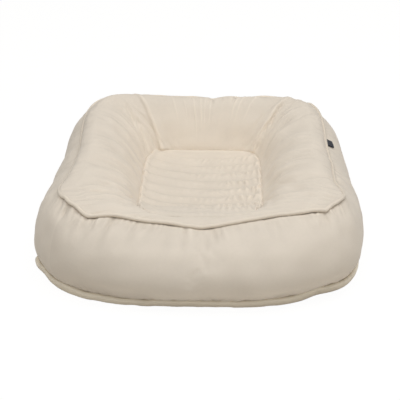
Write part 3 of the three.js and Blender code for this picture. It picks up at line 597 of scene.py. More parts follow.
# %% Meshes
def raise_mesh(name, points, faces, material, uv=None, tone_and_painted_light=None):
    """One object from points (n, 3), quads (m, 4), and values per point for UV and for tone with painted
    light.
    """
    mesh = bpy.data.meshes.new(name)
    mesh.vertices.add(len(points))
    mesh.vertices.foreach_set("co", (points + SHIFT).astype(np.float32).ravel())
    mesh.loops.add(faces.size)
    mesh.loops.foreach_set("vertex_index", faces.astype(np.int32).ravel())
    mesh.polygons.add(len(faces))
    mesh.polygons.foreach_set("loop_start", np.arange(0, faces.size, 4, dtype=np.int32))
    mesh.update(calc_edges=True)
    mesh.polygons.foreach_set("use_smooth", np.ones(len(faces), bool))
    layer = mesh.uv_layers.new(name="cloth")
    uv = points[:, :2] if uv is None else uv
    layer.data.foreach_set("uv", uv[faces.ravel()].astype(np.float32).ravel())
    tone = mesh.attributes.new("tone_and_painted_light", "FLOAT", "POINT")
    tone.data.foreach_set("value", (np.full(len(points), 0.5) if tone_and_painted_light is None else tone_and_painted_light).astype(np.float32))
    mesh.materials.append(material)
    mesh.validate()
    thing = bpy.data.objects.new(name, mesh)
    bpy.context.scene.collection.objects.link(thing)
    return thing


def quads(rows, columns, closed, rolled=False):
    """Quads of a grid, counted row by row. The last column joins the first where it is closed, and
    the last row joins the first where it is rolled up as well."""
    c, r = np.arange(columns if closed else columns - 1), np.arange(rows if rolled else rows - 1)[:, None]
    d, e = (c + 1) % columns, (r + 1) % rows
    corners = [r * columns + c, r * columns + d, e * columns + d, e * columns + c]
    return np.stack(corners, -1).reshape(-1, 4)


def panel(name, grid, thick, material, uv, tone_and_painted_light=None, closed=False):
    """Two layers of a grid, a thickness apart, joined along their rims."""
    rows, columns = grid.shape[:2]
    under = grid - facing(grid, closed) * thick
    points = np.concatenate([grid.reshape(-1, 3), under.reshape(-1, 3)])
    n = rows * columns
    top = quads(rows, columns, closed)
    c = np.arange(columns if closed else columns - 1)
    d = (c + 1) % columns
    last = (rows - 1) * columns
    rims = [(c + n, d + n, d, c), (c + last, d + last, d + last + n, c + last + n)]
    if not closed:
        r = np.arange(rows - 1) * columns
        e = r + columns - 1
        rims += [(r, r + columns, r + columns + n, r + n), (e + n, e + columns + n, e + columns, e)]
    faces = [top, top[:, ::-1] + n] + [np.stack(rim, -1) for rim in rims]
    twice = lambda a: np.concatenate([a.reshape(n, -1), a.reshape(n, -1)])
    tone = None if tone_and_painted_light is None else twice(tone_and_painted_light)[:, 0]
    return raise_mesh(name, points, np.concatenate(faces), material, twice(uv), tone)


def grid_area(grid):
    """Half the cross products of each quad's diagonals."""
    a = grid[1:, 1:] - grid[:-1, :-1]
    b = grid[1:, :-1] - grid[:-1, 1:]
    return float(np.linalg.norm(np.cross(a, b), axis=-1).sum() / 2)


def say_sheet(thing, wide, long, area):
    """Prints a panel's name, with the size and the area that it is cut to."""
    print(thing.name, "is cut", round(wide, 3), "x", round(long, 3), "m, area", round(area, 4))


def declare_sheet(thing, smooth_grid, fullness):
    """Says how the panel was cut: the smooth surface's size, times what the gathers take up."""
    wide = float(np.linalg.norm(np.diff(smooth_grid, axis=1), axis=-1).sum(1).max()) * fullness[0]
    long = float(lengths(smooth_grid)[-1].max()) * fullness[1]
    area = min(grid_area(smooth_grid) * fullness[0] * fullness[1], wide * long)
    long = min(long, area / (0.4 * wide))      # a crescent's box is lower than its end seams are long
    say_sheet(thing, wide, long, area)


def dress(thing, body, slot, *nodes):
    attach(thing, body)
    if nodes:
        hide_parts(*nodes)
    print(thing.name, len(thing.data.polygons), "faces, for", ", ".join(nodes) or "no node")
    return thing


# %% [markdown]
# ## Letting the cloth settle
# Sewn cloth over filling is never as even as a formula. It is a little too long for its seams, so it
# puckers beside them, and it bulges between them. Blender's cloth simulation does both: the sheet
# starts on the drawn surface, its seams are held, its threads are told to be a few per cent longer,
# and air presses it outwards from inside. How far a point may go is capped, so the lounger keeps
# its size.

# %% Cloth simulation of one closed grid
def settle(grid, held, ease, press, cap, frames=18):
    """Runs the cloth on the grid and returns the moved grid: grid + d cap tanh(|d| / cap) / |d|. The
    ease says how much longer the threads are, and is given to the cloth in 12 steps."""
    rows, columns = grid.shape[:2]
    mesh = bpy.data.meshes.new("settling")
    mesh.from_pydata(grid.reshape(-1, 3).tolist(), [], quads(rows, columns, True).tolist())
    thing = bpy.data.objects.new("settling", mesh)
    bpy.context.scene.collection.objects.link(thing)
    group = thing.vertex_groups.new(name="held")
    group.add(np.flatnonzero(held.ravel()).tolist(), 1.0, "REPLACE")
    loose = thing.vertex_groups.new(name="loose")
    count = 12
    steps = np.round(count * np.broadcast_to(ease, held.shape) / ease.max()).astype(int).ravel()
    for step in range(count + 1):
        loose.add(np.flatnonzero(steps == step).tolist(), step / count, "REPLACE")
    cloth = thing.modifiers.new("cloth", "CLOTH")
    s = cloth.settings
    s.quality, s.mass, s.air_damping = 6, 0.25, 2.0
    s.tension_stiffness = s.compression_stiffness = 18
    s.shear_stiffness, s.bending_stiffness = 6, 0.25
    s.vertex_group_mass = "held"
    s.use_pressure, s.uniform_pressure_force = True, press
    s.vertex_group_shrink = "loose"
    s.shrink_min, s.shrink_max = 0.0, -float(ease.max())
    s.effector_weights.gravity = 0
    cloth.point_cache.frame_start, cloth.point_cache.frame_end = 1, frames
    for number in range(1, frames + 1):
        bpy.context.scene.frame_set(number)
    shape = thing.evaluated_get(bpy.context.evaluated_depsgraph_get()).data
    moved = np.empty(rows * columns * 3, np.float32)
    shape.vertices.foreach_get("co", moved)
    bpy.context.scene.frame_set(1)
    bpy.data.objects.remove(thing)
    way = moved.reshape(grid.shape).astype(float) - grid
    size = np.linalg.norm(way, axis=-1, keepdims=True)
    print("settled", grid.shape, "mean and most in mm", size.mean() / MM, size.max() / MM)
    return grid + way * cap * np.tanh(size / cap) / np.maximum(size, 1e-9)


print("the cloth settles here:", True)

# %% [markdown]
# ## The band round the outside
# One long strip goes round the front and both sides, and two narrower ones hold the zip between them
# at the rear. All three are cut from one surface here: it rises from the bottom welt over the belly
# to the top seam. Below the top seam the cloth dives under the piping, and short puckers run down
# from it, deepest where the seam is pulled at its corners.

# %% The band's surface
RING = 400
ring = 4 * np.arange(RING) / RING
ZIP_Z, SLOT, ZIP_PLANE = 60 * MM, 16 * MM, 280 * MM
BAND_ROWS = (9, 3, 18)


def band_surface(tuck_low, tuck_high):
    """Curves from the base seam over the belly to the top seam, tucked in at both ends."""
    belly = seam(BELLY, BELLY_TIES, ring)
    low, high = base_seam(ring), top_seam(ring)
    in_front = np.clip(np.sin(np.pi * ring), 0, 1) * (ring < 1)     # fuller under the front seam
    shoulder = between(high, belly, 0.68 + 0.12 * in_front[:, None], 0.35 + 0.02 * in_front)
    line = profile([beside(low, belly, tuck_low), belly, shoulder, beside(high, shoulder, tuck_high)])
    edge_low, edge_high = share_at_height(line, ZIP_Z - SLOT / 2), share_at_height(line, ZIP_Z + SLOT / 2)
    steps = [np.linspace(0, 1, n + 1)[:, None] for n in BAND_ROWS]
    rise = [steps[0] * edge_low, (edge_low + steps[1] * (edge_high - edge_low))[1:],
            (edge_high + steps[2] * (1 - edge_high))[1:]]
    grid = at_shares(line, np.concatenate(rise))
    soft = 1.5 * MM
    over = np.clip((grid[..., 1] - ZIP_PLANE) / soft, -30, 30)
    grid[..., 1] -= soft * np.log1p(np.exp(over))     # the zip holds the middle of the rear flat
    return grid


LOW_TUCK = 3.6 * MM
TUCK = (2.6 - 1.3 * left_of(ring)[:, None]) * MM           # the cloths nearly close over the left cord
REAR_FROM, REAR_TO = 53 / 24, 67 / 24                      # where the two rear strips begin and end
band = band_surface(LOW_TUCK, TUCK)
held = np.zeros(band.shape[:2], bool)
held[[0, -1]] = True
held[BAND_ROWS[0]:BAND_ROWS[0] + BAND_ROWS[1] + 1, (ring > REAR_FROM) & (ring < REAR_TO)] = True
print("band", band.shape)

# %% [markdown]
# ## The band's puckers
# Where a seam is shorter than its cloth, the cloth puckers. The simulation gives the broad swells
# beside both seams. The folds are added as short valleys along the normals: a few listed one by one,
# where the photograph shows them, and many small ones by seeded chance. A simulation could make all
# of them, but not in the places that the picture shows.

# %% The band settles, and gets its seams and puckers
up = lengths(band)
ease = 0.004 + 0.035 * bell(up[-1] - up, 24 * MM) + 0.03 * bell(up, 16 * MM)
band = settle(band, held, ease, press=6.0, cap=4 * MM)
band = finer(band, 2, True)
band_smooth, band_normal = band, facing(band, True)
ring_fine = 4 * np.arange(2 * RING) / (2 * RING)
top_arc, TOP_TOTAL = closed_arc(top_seam(ring_fine))
band_up = lengths(band)
band_down = band_up[-1] - band_up


def crease(far, places):
    """Sum of short valleys that leave the top seam. Each has a place along the seam, a width and a
    depth, the distance from the seam where it starts and ends, and a lean: depth exp(-(x / width)^2)."""
    depth = np.zeros(far.shape)
    for at, width, deep, start, end, lean in places:
        x = top_arc - at - lean * far / max(end, 1e-6)
        x = (x + TOP_TOTAL / 2) % TOP_TOTAL - TOP_TOTAL / 2
        run = smooth(start - 4 * MM, start + 4 * MM, far) * (1 - smooth(end * 0.45, end, far))
        depth = depth + deep * bell(x, width) * run
    return depth


def in_metres(marks):
    """Marks along the top seam: a ring place turned into metres of seam, and the other five from mm."""
    return [(float(np.interp(s % 4, ring_fine, top_arc)), *(v * MM for v in sizes)) for s, *sizes in marks]


def scatter(seed, gap, width, deep, start, end):
    """Puckers at uneven gaps along the top seam, with seeded sizes."""
    rng = np.random.default_rng(seed)
    count = int(TOP_TOTAL / gap)
    at = (np.arange(count) + rng.uniform(-0.35, 0.35, count)) * TOP_TOTAL / count
    sizes = rng.uniform(0.55, 1.45, (count, 4))
    return [(a, width * w, deep * d, start, end * e, 6 * MM * (l - 1)) for a, (w, d, e, l) in zip(at, sizes)]


# Pulled folds where the photograph shows them: ring place, width, depth, start, end, lean (mm)
PULLED = [(0.547, 4, 3.4, 3, 52, 3), (0.50, 5, 2.0, 2, 30, -4), (0.13, 6, 2.6, 2, 46, 8),
          (0.24, 4, 1.6, 2, 30, 2), (0.285, 3.5, 1.8, 2, 34, -2), (0.33, 4, 1.5, 2, 26, 2),
          (0.46, 4, 1.3, 2, 24, -2), (0.61, 5, 1.2, 2, 26, 2), (0.72, 5, 1.2, 2, 24, 2),
          (0.945, 6, 2.6, 2, 44, -8), (0.86, 4, 1.3, 2, 28, -3), (0.02, 5, 2.4, 2, 40, -6),
          (0.098, 3, -2.4, 2, 40, -12), (0.17, 3, -2.4, 2, 36, 12), (0.205, 3, -1.8, 2, 40, 9),
          (0.915, 3, -2.2, 2, 36, -14), (0.975, 3, -2.6, 2, 30, 10), (0.48, 4, -1.8, 3, 44, -2),
          (0.575, 4, -2.0, 3, 48, 4), (1.10, 6, 2.0, 2, 34, 5), (1.33, 2.8, 3.6, 6, 28, 14),
          (1.365, 3, -2.6, 4, 32, 12), (1.46, 5, 1.6, 2, 26, -4), (3.93, 6, 2.6, 4, 40, 6),
          (3.80, 6, 1.6, 3, 34, -6), (3.55, 6, 1.4, 3, 30, 4), (2.5, 6, 1.6, 3, 30, 3),
          (2.2, 5, 1.6, 3, 28, -3)]
fade = smooth(0, 26 * MM, band_down) * smooth(0, 20 * MM, band_up)
beside_zip = (ring_fine > 2.15) & (ring_fine < 2.85)
away_from_zip = 1 - bell(band[..., 2] - ZIP_Z, 17 * MM, 4) * beside_zip
# The band is fullest at the front's left. That bell is added twice: it crosses the ring's start.
full = 0.35 + 0.65 * bell(ring_fine - 0.22, 0.3) + 0.35 * bell(ring_fine - 0.95, 0.12)
full = full + 0.65 * bell(ring_fine - 4.22, 0.3)
on_left = left_of(ring_fine)
welt_dip = 2.0 * MM * bell(band_up, 6 * MM, 1.6)
seam_dip = (1.7 - 0.9 * on_left) * MM * bell(band_down, 3.6 * MM, 1.6)
short, broad, low = (scatter(seed, *(v * MM for v in sizes)) for seed, *sizes in (
    (3, 9.5, 2.8, 1.9, 1, 30), (6, 31, 7, 2.4, 1, 66), (5, 17, 3.4, 1.3, 1, 24)))
dips = (seam_dip + welt_dip + crease(band_down, in_metres(PULLED)) + full * crease(band_down, short)
        + full * crease(band_down, broad) + crease(band_up, low))
lumps = 2.2 * MM * waves(band, 110 * MM, 11) + 1.0 * MM * waves(band, 42 * MM, 12)
band = band + band_normal * ((lumps * fade - dips) * away_from_zip)[..., None]
print("deepest pucker", round(float(dips.max()) / MM, 1), "mm")

# %% [markdown]
# ## Cutting out and sewing
# A panel is a piece of the surface between two columns and some rows. Cut this way, neighbours share
# their edge and no gap opens. The tone value, of mottle and painted light, runs from dark at 0 to pale
# at 1. It follows the relief as painted light: painted highlights on ridges, painted shade in creases.
# Part of it is painted shade that only evens the render's shading towards the photograph: the band is
# made darker near its foot, in the welt's crease, just under the top seam and at the front's left.

# %% Cutting the band into its three panels
def cut(values, first, last, rows=slice(None)):
    """Columns from first to last round the ring, and some rows."""
    return values[rows, np.arange(first, last + 1) % values.shape[1]]


def sew(name, node, surface, first, last, fullness, held, rows=slice(None)):
    """Cuts one panel of the cover out of a surface, dresses it and says how it was cut. Its UV map
    holds metres along the top seam, counted on past the ring's start, and metres along the cloth."""
    grid, tone, drawn, far = (cut(values, first, last, rows) for values in surface)
    index = np.arange(first, last + 1)
    arc = top_arc[index % len(top_arc)] + TOP_TOTAL * (index // len(top_arc))
    uv = np.stack([np.broadcast_to(arc, far.shape), far], -1)
    piece = dress(panel(name, grid, CLOTH, cover_cloth, uv, tone), "lounger", "cover", node)
    declare_sheet(piece, drawn, (fullness, 1.0))


CLOTH = 2 * MM
FINE_LOW, FINE_HIGH = 2 * BAND_ROWS[0], 2 * (BAND_ROWS[0] + BAND_ROWS[1])
REAR_FIRST, REAR_LAST = (round(s * 2 * RING / 4) for s in (REAR_FROM, REAR_TO))
# Painted shade: darker towards the band's foot, at the front's left, just under the top seam and in the
# welt's crease.
shaded = 0.24 * (1 - smooth(20 * MM, 110 * MM, band_up)) + 0.18 * bell(ring_fine - 0.1, 0.28)
shaded = shaded + 0.14 * bell(band_down, 3 * MM) + 0.36 * bell(band_up, 9 * MM)
# A random mottle, and painted light that follows the relief: paler on ridges, darker in creases.
uneven = 0.05 * waves(band, 60 * MM, 13) + 0.09 * proud(lumps * fade - dips + welt_dip, 5)
band_parts = band, np.clip(0.5 - shaded + uneven, 0, 1), band_smooth, band_up
ends = REAR_LAST, 2 * RING + REAR_FIRST
sew("band_front_and_sides", "front_side_band", band_parts, *ends, 1.03, "stretched")
for word, rows in (("lower", slice(0, FINE_LOW + 1)), ("upper", slice(FINE_HIGH, None))):
    sew(f"band_rear_{word}", f"rear_band_{word}", band_parts, REAR_FIRST, REAR_LAST, 1.02, "stretched", rows)

# %% [markdown]
# ## The walls of the well
# Four panels run from the top seam over the crest and down into the well. Their seams meet the top
# seam at the front corners, and at the rear they lean towards the middle, so the columns are moved
# along the ring there. The walls are gathered into the floor's edge: soft ridges a few
# centimetres apart run down them, low at the crest and highest near the floor.

# %% The walls' surface
WALL_ROWS = 34
CREST_BEHIND_SEAM = 7 * MM


def wall_surface(tuck):
    """Curves from the top seam over the crest and the slope to the floor's edge. In front the crest
    keeps behind the seam, and on both sides the cloth stands full up to the seam."""
    upper = lean(ring, *SEAM_LEAN)
    high, crest, edge = top_seam(upper), outline(CREST, upper), floor_edge(ring)
    behind = np.maximum(crest[:, 1], high[:, 1] + CREST_BEHIND_SEAM)
    crest[:, 1] = np.where(ring < 1, behind, crest[:, 1])
    slope = between(edge, crest, 0.42, 0.6)
    on_sides = abs(np.sin(np.pi / 2 * (ring - 0.5))) ** 4
    roll = crest + (high - crest) * 0.62
    roll[:, 2] += 0.34 * (crest - high)[:, 2] * on_sides
    line = profile([beside(high, crest, tuck), roll, crest, slope, edge])
    return at_shares(line, np.linspace(0, 1, WALL_ROWS + 1))


wall = wall_surface(TUCK)
held = np.zeros(wall.shape[:2], bool)
held[[0, -1]] = True
room = smooth(8 * MM, 110 * MM, lengths(wall)[-1])          # the front wall is too short to billow
held[:, room < 0.35] = True
far = lengths(wall)
ease = 0.004 + 0.02 * bell(far, 18 * MM) + 0.07 * bell(far[-1] - far, 38 * MM)
wall = settle(wall, held, ease, press=5.0, cap=(0.4 + 4.6 * room[None, :, None]) * MM)
wall = finer(wall, 2, True)
room = refine(room, 2, 0, True)[None]
wall_smooth, wall_normal = wall, facing(wall, True)
# The normals are evened over nine columns each way, so that folds in the corners don't cross.
wall_normal = unit(sum(np.roll(wall_normal, k, 1) for k in range(-9, 10)))
wall_in = lengths(wall)                 # from the top seam
wall_out = wall_in[-1] - wall_in        # from the floor's edge
wall_share = wall_in / wall_in[-1]
edge_arc, EDGE_TOTAL = closed_arc(floor_edge(ring_fine))
print("walls", wall.shape, "floor edge", round(EDGE_TOTAL, 3), "m")

# %% [markdown]
# ## The walls' gathers
# The outer seam is longer than the floor's edge, so the walls' cloth is gathered into it. Broad ridges
# and small ones run down the walls, two raised seams lean down the rear corners, and creases start at
# the top seam where it is pulled. All of it is relief along the normals, worked out from metres of
# seam and the share of the way down, so that it can be steered to where the photograph shows it.

# %% Gathers, corner seams and creases of the walls
def gathers(arc, share, pitch, seed):
    """Ridges ((1 + cos a) / 2)^1.3 down the wall. Their phase wanders, their height differs, and on
    the two sides they swing to the rear by a sine of the way down, as the photograph shows."""
    rng = np.random.default_rng(seed)
    counts, phases = rng.integers(2, 9, 6), rng.uniform(0, 6.28, 6)
    turn = 2 * np.pi * arc / EDGE_TOTAL
    wander = sum(np.sin(n * turn + p) for n, p in zip(counts, phases)) * 0.5
    swing = (9 * np.sin(np.pi * share) + 30 * share) * MM * np.sin(np.pi / 2 * (ring_fine - 0.5))
    phase = 2 * np.pi * round(EDGE_TOTAL / pitch) * (arc - swing) / EDGE_TOTAL + wander * 1.3
    ridge = ((1 + np.cos(phase)) / 2) ** 1.3
    height = 0.7 + 0.3 * np.sin(5 * turn + 1 + 3 * share) * np.sin(3 * turn + 2)
    return ridge * height


grow = smooth(0.12, 0.55, wall_share) * (1 - 0.65 * smooth(0.7, 1, wall_share))
calm = 1 - 0.8 * plateau(ring_fine, 1.82, 2.0, 3.0, 3.18)           # the rear wall
patchy = np.clip(0.5 + 0.7 * waves(wall, 70 * MM, 34), 0, 1)
steps_round = np.linalg.norm(np.roll(wall, -1, 1) - wall, axis=-1)
round_arc = np.cumsum(steps_round, 1) - steps_round             # metres along each row of the ring
round_total = round_arc[:, -1:] + steps_round[:, -1:]
corner_seams, seam_shine, plain = np.zeros(wall.shape[:2]), np.zeros(wall.shape[:2]), np.ones(wall.shape[:2])
FRONT_SEAM, REAR_SEAM = 1.0, 4.6                                 # how high the corner seams stand, in mm
for corner, high in enumerate([FRONT_SEAM, FRONT_SEAM, REAR_SEAM, REAR_SEAM]):
    column, towards = corner * RING // 2, 1 - 2 * (corner % 2)
    x = round_arc - round_arc[:, column:column + 1] + round_total / 2
    x = towards * (x % round_total - round_total / 2)
    wide = np.where(x < 0, 4.5, 8 + 5 * wall_share) * MM         # steep to the side, gentle to the rear
    fold = high * bell(x, wide) * smooth(0.02, 0.3, wall_share) * (1 - smooth(0.95, 1, wall_share))
    corner_seams = corner_seams - fold * MM
    seam_shine = seam_shine + (0.09 + 0.05 * wall_share) * fold * bell(x - 1 * MM, 3.2 * MM)
    plain = plain * (1 - high / REAR_SEAM * bell(x, 16 * MM))        # no gathers beside the rear seams
broad = gathers(edge_arc[None], wall_share, 34 * MM, 21) * 4.4 * MM * grow * calm * plain
small = gathers(edge_arc[None], wall_share, 11 * MM, 22) * 1.7 * MM * smooth(0.08, 0.3, wall_share)
small = small * patchy * calm * plain * (1 - 0.6 * smooth(0.6, 0.85, wall_share))

# Creases from the top seam inwards: ring place, width, depth, start, end, lean (mm)
INWARD = [(2.465, 8, 5.0, 2, 58, 3), (2.325, 7, 4.6, 2, 60, -3), (2.13, 12, 3.4, 2, 46, 6),
          (2.60, 9, 2.2, 2, 50, 3), (1.30, 5, 1.6, 6, 100, -12), (1.52, 5, 1.5, 6, 100, -10),
          (1.12, 5, 1.6, 4, 90, -14), (3.30, 5, 1.4, 8, 90, 8), (3.60, 5, 1.5, 6, 95, 10),
          (3.84, 5, 1.6, 4, 90, 12), (1.78, 4, 1.5, 6, 90, -8)]
# Thin ridges that run down the rear wall: ring place, width, height, start, end, lean (mm)
RIDGES = [(2.47, 2.8, 2.2, 24, 100, 2), (2.51, 2.6, 1.6, 30, 118, 3), (2.545, 2.8, 2.2, 24, 112, -3),
          (2.60, 2.8, 2.4, 20, 130, -6), (2.30, 3.0, 2.6, 20, 96, 4), (2.265, 2.8, 2.2, 26, 110, 5),
          (2.78, 3.2, 1.6, 24, 100, -5), (2.19, 3.2, 1.8, 30, 110, 8), (2.68, 2.8, 1.2, 36, 100, -4)]
few, thin_ridges, many = (crease(wall_in, marks) for marks in (
    in_metres(INWARD), in_metres(RIDGES), scatter(8, 15 * MM, 3.0 * MM, 1.2 * MM, 3 * MM, 34 * MM)))
# Beside the cord the walls are raised: most in front, less on the right and rear, least on the left.
hides_cord = 1 - 0.3 * plateau(ring_fine, 1.0, 1.15, 2.9, 3.05) - 0.45 * on_left
dips = (0.6 * MM * bell(wall_out, 7 * MM, 1.5) + (1.0 - 2.6 * hides_cord) * MM * bell(wall_in, 7 * MM, 1.6)
        + room * (corner_seams + few + many))
fade = smooth(0, 25 * MM, wall_in) * smooth(0, 25 * MM, wall_out)
lumps = 1.8 * MM * waves(wall, 90 * MM, 31) + 0.7 * MM * waves(wall, 38 * MM, 32)
at_rear = plateau(ring_fine, 1.95, 2.2, 2.75, 3.0)
rounding = 3 * MM * bell(wall_out, (14 + 8 * at_rear) * MM)           # a soft corner at the floor
rounding = rounding * smooth(-177 * MM, -108 * MM, wall[..., 1])
pressed = room * (broad + small + lumps * fade) - dips + room * corner_seams
relief = room * (broad + small + 0.45 * thin_ridges + lumps * fade - 1.5 * MM * grow) + rounding - dips
wall = wall + wall_normal * relief[..., None]
print("gathers up to", round(float((broad + small).max()) / MM, 1), "mm")

# %% [markdown]
# ## Tone and panels of the walls
# The tone follows the relief here too, as painted light: painted highlights on ridges, along the thin
# ridges and on the corner seams, and painted shade in creases. The lift inside the well and at the rear
# is painted light that only evens the render's shading towards the photograph.
# Then the four panels are cut out at the corner seams, each with its own piece of the surface.

# %% The four wall panels
inside = smooth(0.25, 0.6, wall_share) * room
# Painted light: the walls are paler inside the well and at the rear, most at the rear wall's foot.
painted_lift = (0.12 + 0.14 * at_rear) * inside + 0.10 * at_rear * bell(wall_out, 34 * MM)
# A trace lighter near the crest, painted shade just under the top seam, and a random mottle.
tone_and_shade = 0.06 * bell(wall_share - 0.2, 0.16) - 0.12 * bell(wall_in, 3.5 * MM) + 0.05 * waves(wall, 60 * MM, 33)
# Painted light: highlights on ridges, thin ridges and corner seams, and shade in creases.
painted_relief_light = 0.08 * proud(pressed, 5) + 0.16 * thin_ridges / MM + seam_shine
wall_parts = wall, np.clip(0.5 + painted_lift + tone_and_shade + painted_relief_light, 0, 1), wall_smooth, wall_in
SIDE = 2 * RING // 4
for number, side in enumerate(["front", "right", "rear", "left"]):
    ends = number * SIDE, (number + 1) * SIDE
    sew(f"wall_{side}", f"{side}_wall_panel", wall_parts, *ends, 1.08, "gathered")

# %% [markdown]
# ## The gathered floor
# The floor of the well is shirred: elastic threads run across it in shallow arcs, and draw the cloth
# up into rows of small puckers that stand in brick order, like a honeycomb. It is a patch between
# the four border lines (a Coons patch), and the puckers are a product of two rounded waves, one
# across the rows and one along them. A noise field makes them uneven: clearest at the right and
# towards the front, and almost plain in a strip along the rear edge.

# %% The floor's surface
FLOOR_ROWS, FLOOR_COLUMNS = 250, 164
ROW_GAP, PUCKER = 32 * MM, 13 * MM
SAG = 9 * MM


def floor_patch(rows, columns):
    """Coons patch: the two ruled surfaces between opposite borders, less the bilinear one."""
    a, b = np.linspace(0, 1, columns + 1)[None, :], np.linspace(0, 1, rows + 1)[:, None]
    full = np.ones((rows + 1, columns + 1))
    front, right, rear, left = (floor_edge(s) for s in (a * full, 1 + b * full, 3 - a * full, 4 - b * full))
    a3, b3 = a[..., None], b[..., None]
    c0, c1, c2, c3 = floor_edge(np.arange(4.0))
    flat = (front * (1 - b3) + rear * b3 + left * (1 - a3) + right * a3
            - c0 * (1 - a3) * (1 - b3) - c1 * a3 * (1 - b3) - c2 * a3 * b3 - c3 * (1 - a3) * b3)
    return flat, 2 * a - 1 + 0 * b, 2 * b - 1 + 0 * a


flat, p, q = floor_patch(FLOOR_ROWS, FLOOR_COLUMNS)
sag = SAG * (1 - p ** 2) * smooth(-1.0, -0.25, q) * (1 - smooth(0.6, 1, q))
flat[..., 2] = floor_height(flat[..., 1]) - sag
floor_normal = facing(flat, False)
down = lengths(flat[::-1])[::-1]                       # from the rear edge
across = lengths(np.swapaxes(flat, 0, 1)).T
from_side = np.minimum(across, across[:, -1:] - across)
from_edge = np.minimum(from_side, np.minimum(down, lengths(flat)))
print("floor", flat.shape, "long", round(float(down.max()), 3), "wide", round(float(across.max()), 3))

# %% [markdown]
# ## The shirring's relief
# The height is a product: a row's hump, the puckers along it, and fields that say where the rows are
# strong, where they start and how they end at the sides. Near the border the floor rises to meet the
# soft corner of the walls. A cloth simulation of each elastic thread would take far too long.

# %% Shirring
bow = 4 * MM + 18 * MM * (1 - abs(p) ** 3)
row = (down - bow) / ROW_GAP + 0.09 * waves(flat, 80 * MM, 41)
number = np.floor(row)
shift = 0.5 * (number % 2) + 0.2 * np.sin(number * 2.4)
column = across / PUCKER + shift + 0.30 * waves(flat, 30 * MM, 42)
hump = lambda turns, sharp: (0.5 - 0.5 * np.cos(2 * np.pi * turns)) ** sharp
strong = np.clip(0.42 + 0.65 * p - 0.30 * q + 0.25 * waves(flat, 60 * MM, 43), 0.06, 1.0)
ridge = 0.8 * hump(row, 2.0) + 0.3 * hump(2 * row, 1.2)               # small rows ride on the tall ones
pucker = 1 - 0.75 * strong * (1 - hump(column, 0.9))
ends = 1 + 0.25 * strong + (0.6 - 0.4 * p) * bell(from_side, 13 * MM)
started = smooth(-0.2, 0.35, row) * (1 - 0.75 * smooth(0.80, 1.0, -q))
tall = (4.2 + 2.4 * strong) * MM * ridge * pucker * ends * (0.8 + 0.2 * waves(flat, 26 * MM, 44)) * started
to_front = 1 - smooth(0.55, 0.95, -q)
border = 3.0 * MM * bell(from_edge - 5 * MM, 5.5 * MM) * to_front * (1 - 0.5 * bell(down, 14 * MM))
puff = 2.6 * MM * to_front                                     # the wall's soft corner meets it
soft = 0.8 * MM * waves(flat, 48 * MM, 45) * smooth(0, 20 * MM, from_edge)
relief = tall * smooth(0.5 * MM, 6 * MM, from_edge) + border + puff + soft
floor_cloth = flat + floor_normal * relief[..., None]
# A random mottle, painted light on the puckers (paler tops, darker hollows) and a painted pale line along
# the rear edge.
floor_tone_and_light = np.clip(0.5 + 0.05 * waves(flat, 60 * MM, 46) + 0.08 * bell(down - 5 * MM, 3.5 * MM)
                     + (0.07 + 0.03 * strong) * proud(relief, 6, False), 0, 1)
floor_uv = np.stack([across, down], -1)
floor_panel = panel("well_floor_shirred", floor_cloth, CLOTH, cover_cloth, floor_uv, floor_tone_and_light)
dress(floor_panel, "lounger", "cover", "well_floor_panel")
declare_sheet(floor_panel, flat, (1.25, 1.15))

# %% [markdown]
# ## Piping and welt
# Each piped seam is a cotton cord in a strip of cloth cut on the bias. A tube follows the seam's line.
# Bias cloth wrinkles slightly on the slant round the cord, and the bottom welt also waves up and
# down where the lounger's weight rests on it.

# %% Cords in cloth
CORD_SIDES = 18


def corded(name, seam_line, material, radius, wave, seed, count,
           ground=None, tall=None, girth=None, sink=0.0):
    """Tube round a closed line: radius (1 + wrinkles), wrinkles slanting round and along the cord.
    Where tall or girth is given, the section's height or all of it changes round the ring, and sink
    lowers the cord on the left. A tall section is a little wider too, and its top leans outwards."""
    s = 4 * np.arange(count) / count
    line = seam_line(s)
    line[:, 2] -= sink * left_of(s)
    arc, total = closed_arc(line)
    turn = 2 * np.pi * arc / total
    rng = np.random.default_rng(seed)
    counts, phases = rng.integers(9, 60, 9), rng.uniform(0, 6.3, 9)
    sway = sum(np.sin(n * turn + f) / n ** 0.5 for n, f in zip(counts, phases))
    line[:, 2] += wave * 0.35 * sway
    along = unit(np.roll(line, -1, 0) - np.roll(line, 1, 0))
    out = unit(np.cross(along, [0, 0, 1]))
    up = np.cross(out, along)
    a = 2 * np.pi * np.arange(CORD_SIDES)[:, None] / CORD_SIDES
    slant = np.sin(2 * np.pi * arc / (7.5 * MM) + 1.5 * a + 1.2 * sway)
    slant = slant * (0.5 + 0.5 * np.sin(turn * 37 + 2 * sway))
    thin = 1.0 if girth is None else girth(s)
    r = radius * (1 + 0.022 * slant + 0.03 * waves(line, 30 * MM, seed) + 0 * a) * thin
    rise = r * (1.0 if tall is None else tall(s)) * np.sin(a)
    wide, leaning, off = (1.0, 0.0, 0.0) if tall is None else (1.3, 0.5, 0.5 * MM)
    sideways = off + wide * r * np.cos(a) + leaning * np.maximum(rise, 0)
    ring_points = line + out * sideways[..., None] + up * rise[..., None]
    if ground is not None:
        ring_points[..., 2] = np.maximum(ring_points[..., 2], ground)
    points = ring_points.transpose(1, 0, 2).reshape(-1, 3)
    faces = np.roll(quads(count, CORD_SIDES, True, True)[:, ::-1], 1, 1)
    uv = np.stack(np.broadcast_arrays(arc[:, None], a.T * radius), -1).reshape(-1, 2)
    # Painted light: the tall welt starts from a paler tone, because its shade came out too dark against the
    # photograph. Round each cord the upper side is painted paler and the lower side darker, and where the
    # cord is drawn in between the cloths it is painted darker, as shade.
    tone = (0.55 if tall is None else 0.75) + 0.25 * np.sin(a - 0.6) - 4 * (1 - thin + 0 * s)
    return raise_mesh(name, points, faces, material, uv, np.clip(tone, 0, 1).T.ravel()), total


